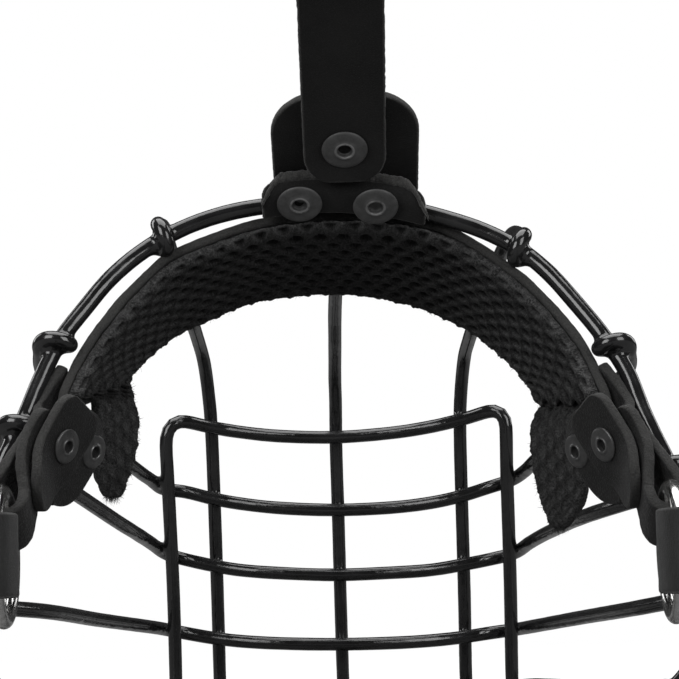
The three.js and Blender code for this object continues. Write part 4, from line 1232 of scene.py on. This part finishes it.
def left_neck_strap():
    """folded round the left ring and round the buckle bar, slotted for the buckle tongue"""
    points = [(x, y, RING_Z) for x, y in (
        (-72.6, -170), (-72.6, -158), (-72.1, -147), (-69.8, -138))]
    points += fold(-RING_X, FOLD_Y, FOLD_R, 0, 180, 8, RING_Z)
    points += [(-76.1, -139, RING_Z)]
    points += [(LANE_X, y, RING_Z) for y in (-150, -170, -190, -212, -228)]
    points += fold(BUCKLE_X, BAR_Y, 3.1, 180, 360, 6, RING_Z)
    points += [(x, y, RING_Z) for x, y in (
        (-70.1, -232), (-72.3, -224), (-72.6, -216), (-72.6, -209))]
    strap = neck_belt("left_neck_strap", points)
    slot = new_mesh(
        "cutter",
        [(BUCKLE_X + x, BAR_Y - 0.2 + y, RING_Z + z)
         for x in (-7, 7) for y in (-7.5, 7.5) for z in (-2.4, 2.4)],
        [(0, 1, 3, 2), (4, 6, 7, 5), (0, 4, 5, 1), (2, 3, 7, 6), (0, 2, 6, 4), (1, 5, 7, 3)],
        STRAP, smooth=False)
    cut(strap, [slot])
    register(strap, "left_neck_strap")
    for name, y in (("left_neck_strap_rivet", -159), ("buckle_fold_rivet", -217)):
        rivet(name, "left_neck_strap", (-77.3, y, RING_Z), (-1, 0, 0), 4.4, 6.6, RIVET,
              hole=1.5)


def buckle():
    half = BUCKLE_HEIGHT / 2
    outline = rounded_rectangle(ROLLER_Y, BAR_Y, RING_Z - half, RING_Z + half,
                                BUCKLE_CORNER_R, 8)
    frame = vec([(BUCKLE_X, y, z) for y, z in outline])
    tube("buckle_frame", "left_neck_strap", resample(frame, 0.9, True), BUCKLE_WIRE_R, True)
    half_prof = [(1.95, -7.9), (2.2, -8.0), (2.6, -7.85), (2.7, -7.6), (2.7, -7.0)]
    prof = half_prof + [(2.7, 0)] + [(r, -z) for r, z in reversed(half_prof)]
    roller = lathe("buckle_roller", (BUCKLE_X, ROLLER_Y, RING_Z), (0, 0, 1), prof, STEEL)
    register(roller, "buckle_roller")
    # tongue: wrapped round the bar, then straight to the roller
    points = [(BUCKLE_X + math.cos(math.radians(a)) * 3.2,
               BAR_Y + math.sin(math.radians(a)) * 3.2, RING_Z)
              for a in (250, 300, 350, 40, 90, 140)]
    points += [(BUCKLE_X - x, y, RING_Z) for x, y in (
        (3.6, BAR_Y - 2), (3.9, BAR_Y - 10), (4.2, ROLLER_Y + 4), (4.4, ROLLER_Y - 3.6))]
    tube("buckle_tongue", "buckle_tongue", resample(spline(points, 16), 0.6), 1.3)


def keeper():
    """narrow leather band closed round the strap"""
    thick, half_w, y = 1.7, 4.4, -190.0
    half_x, half_z = 3.55 / 2 + thick / 2, 10.6 + thick / 2
    outline = rounded_rectangle(LANE_X - half_x, LANE_X + half_x, RING_Z - half_z,
                                RING_Z + half_z, 1.3, 6)
    line = resample(vec([(x, y, z) for x, z in outline]), 0.7, True)
    across = vec([0, 1, 0])
    section = profile(half_w, thick / 2, 0.5, 8)
    verts, edge = [], []
    for center, tangent in zip(line, tangents(line, True)):
        normal = unit(np.cross(across, tangent))
        for w, t, weight in section:
            p = center + across * w + normal * t
            verts.append(p + normal * 0.06 * noise_at(p, 0.5))
            edge.append(weight)
    obj = new_mesh("visual_strap_keeper", verts, ring_faces(len(line), len(section), True),
                   TONGUE, {"edge": edge})
    register(obj, "keeper")


def hole_pin(center, axis):
    """cutter for one round hole"""
    radius, length, sides = 2.05, 14, 28
    verts = [p for z in (-length / 2, length / 2)
             for p in circle(center, axis, radius, z, sides)]
    return new_mesh("cutter", verts, ring_faces(2, sides), STRAP, smooth=False)


def right_neck_strap():
    """folded round the right ring; the free end has five holes"""
    def rows(table):   # x, y, height against RIGHT_Z
        return [(x, y, RIGHT_Z + z) for x, y, z in table]

    points = rows([(73, -170, 0), (73, -158, 0), (72.5, -147, 0), (70.2, -138, 0)])
    points += fold(RING_X + RIGHT_DX, FOLD_Y, FOLD_R, 180, 0, 8, RIGHT_Z)
    points += rows([
        (76.5, -139, 0), (76.1, -150, 0), (76.1, -170, 0), (76.1, -195, 0), (75.5, -220, -0.2),
        (73.5, -245, -0.8), (70.3, -270, -1.8), (65.9, -295, -3.2), (60.3, -320, -5)])
    strap = neck_belt("right_neck_strap", points, end_r=9)
    holes = rows([(75.8, -212, -0.2), (74.6, -232, -0.5), (72.4, -254, -1.1),
                  (69.3, -276, -2.1), (65.1, -298, -3.4)])
    # the holes turn with the curve of the strap
    cut(strap, [hole_pin(p, (1, (212 + p[1]) * 0.0028, 0)) for p in holes])
    register(strap, "right_neck_strap")
    rivet("right_neck_strap_rivet", "right_neck_strap", (77.7, -159, RIGHT_Z), (1, 0, 0),
          4.4, 6.6, RIVET, hole=1.5)


left_neck_strap()
buckle()
keeper()
right_neck_strap()


# ------------------------------------------------------------------ stage, light, camera (m)
def flat_shader(tree, kind, value):
    node = tree.nodes.new(kind)
    node.inputs[0].default_value = grey(value)
    return node


def mix_shaders(tree, fac, a, b):
    node = tree.nodes.new("ShaderNodeMixShader")
    tree.links.new(fac, node.inputs[0])
    tree.links.new(a.outputs[0], node.inputs[1])
    tree.links.new(b.outputs[0], node.inputs[2])
    return node


def floor_material():
    """pale to the camera, fading to white far out; dark to all other rays"""
    mat = bpy.data.materials.new("pale_floor")
    tree = fresh_tree(mat)
    out = tree.nodes.new("ShaderNodeOutputMaterial")
    pale = flat_shader(tree, "ShaderNodeBsdfDiffuse", 0.86)
    dark = flat_shader(tree, "ShaderNodeBsdfDiffuse", 0.16)
    white = flat_shader(tree, "ShaderNodeEmission", 1)
    rays = tree.nodes.new("ShaderNodeLightPath")
    geometry = tree.nodes.new("ShaderNodeNewGeometry")
    distance = tree.nodes.new("ShaderNodeVectorMath")
    distance.operation = "LENGTH"
    fade = tree.nodes.new("ShaderNodeMapRange")
    fade.inputs["From Min"].default_value = 0.35
    fade.inputs["From Max"].default_value = 1.0
    tree.links.new(geometry.outputs["Position"], distance.inputs[0])
    tree.links.new(distance.outputs["Value"], fade.inputs["Value"])
    seen = mix_shaders(tree, fade.outputs[0], pale, white)
    mixed = mix_shaders(tree, rays.outputs["Is Camera Ray"], dark, seen)
    tree.links.new(mixed.outputs[0], out.inputs[0])
    return mat


def floor():
    me = bpy.data.meshes.new("floor")
    bm = bmesh.new()
    bmesh.ops.create_circle(bm, cap_ends=True, segments=96, radius=12.0)
    bm.to_mesh(me)
    bm.free()
    me.transform(Matrix.Translation((0, 0, -0.0004)))
    obj = bpy.data.objects.new("floor", me)
    bpy.context.scene.collection.objects.link(obj)
    me.materials.append(floor_material())


def studio_world():
    """white to the camera, nearly black in reflections, grey as fill light"""
    world = bpy.data.worlds.new("studio")
    bpy.context.scene.world = world
    tree = fresh_tree(world)
    out = tree.nodes.new("ShaderNodeOutputWorld")
    backdrop = flat_shader(tree, "ShaderNodeBackground", 1)
    fill = flat_shader(tree, "ShaderNodeBackground", 0.42)
    reflected = flat_shader(tree, "ShaderNodeBackground", 0.05)
    rays = tree.nodes.new("ShaderNodeLightPath")
    unseen = mix_shaders(tree, rays.outputs["Is Glossy Ray"], fill, reflected)
    mixed = mix_shaders(tree, rays.outputs["Is Camera Ray"], unseen, backdrop)
    tree.links.new(mixed.outputs[0], out.inputs[0])


def softbox(name, location, width, height, radiance):
    light = bpy.data.lights.new(name, "AREA")
    light.shape = "RECTANGLE"
    light.size, light.size_y = width, height
    light.energy = radiance * math.pi * width * height
    obj = bpy.data.objects.new(name, light)
    bpy.context.scene.collection.objects.link(obj)
    obj.location = location
    aim = Vector((0, -0.02, 0.09)) - Vector(location)
    obj.rotation_euler = aim.to_track_quat("-Z", "Y").to_euler()


def camera():
    """behind the muzzle, looking forwards along +Y and a little up"""
    data = bpy.data.cameras.new("photo_camera")
    data.lens, data.sensor_width = 121.94, 36.0
    data.clip_start, data.clip_end = 0.01, 50
    obj = bpy.data.objects.new("photo_camera", data)
    bpy.context.scene.collection.objects.link(obj)
    right = Vector((0.9995066, 0.0032833, -0.0312387))
    up = Vector((0.0314108, -0.1044769, 0.9940312))
    view = Vector((0.0, 0.9945219, 0.1045285))
    matrix = Matrix((right, up, -view)).transposed().to_4x4()
    matrix.translation = (0.002, -0.621559, 0.047579)
    obj.matrix_world = matrix
    scene = bpy.context.scene
    scene.camera = obj
    scene.view_settings.view_transform = "Standard"
    scene.view_settings.look = "None"
    scene.view_settings.exposure = 0.0
    scene.view_settings.gamma = 1.0


floor()
studio_world()
# name, location, width, height, radiance
for box in (("key_left", (-0.95, -1.25, 0.75), 0.9, 1.1, 5.0),
            ("key_right", (1.05, -1.15, 0.65), 0.8, 1.1, 4.0),
            ("top", (0.0, 0.0, 1.5), 1.6, 1.4, 3.2),
            ("back_left", (-1.2, 0.9, 0.8), 0.5, 1.0, 2.4),
            ("back_right", (1.2, 0.9, 0.8), 0.5, 1.0, 2.4)):
    softbox(*box)
camera()

bpy.context.view_layer.update()
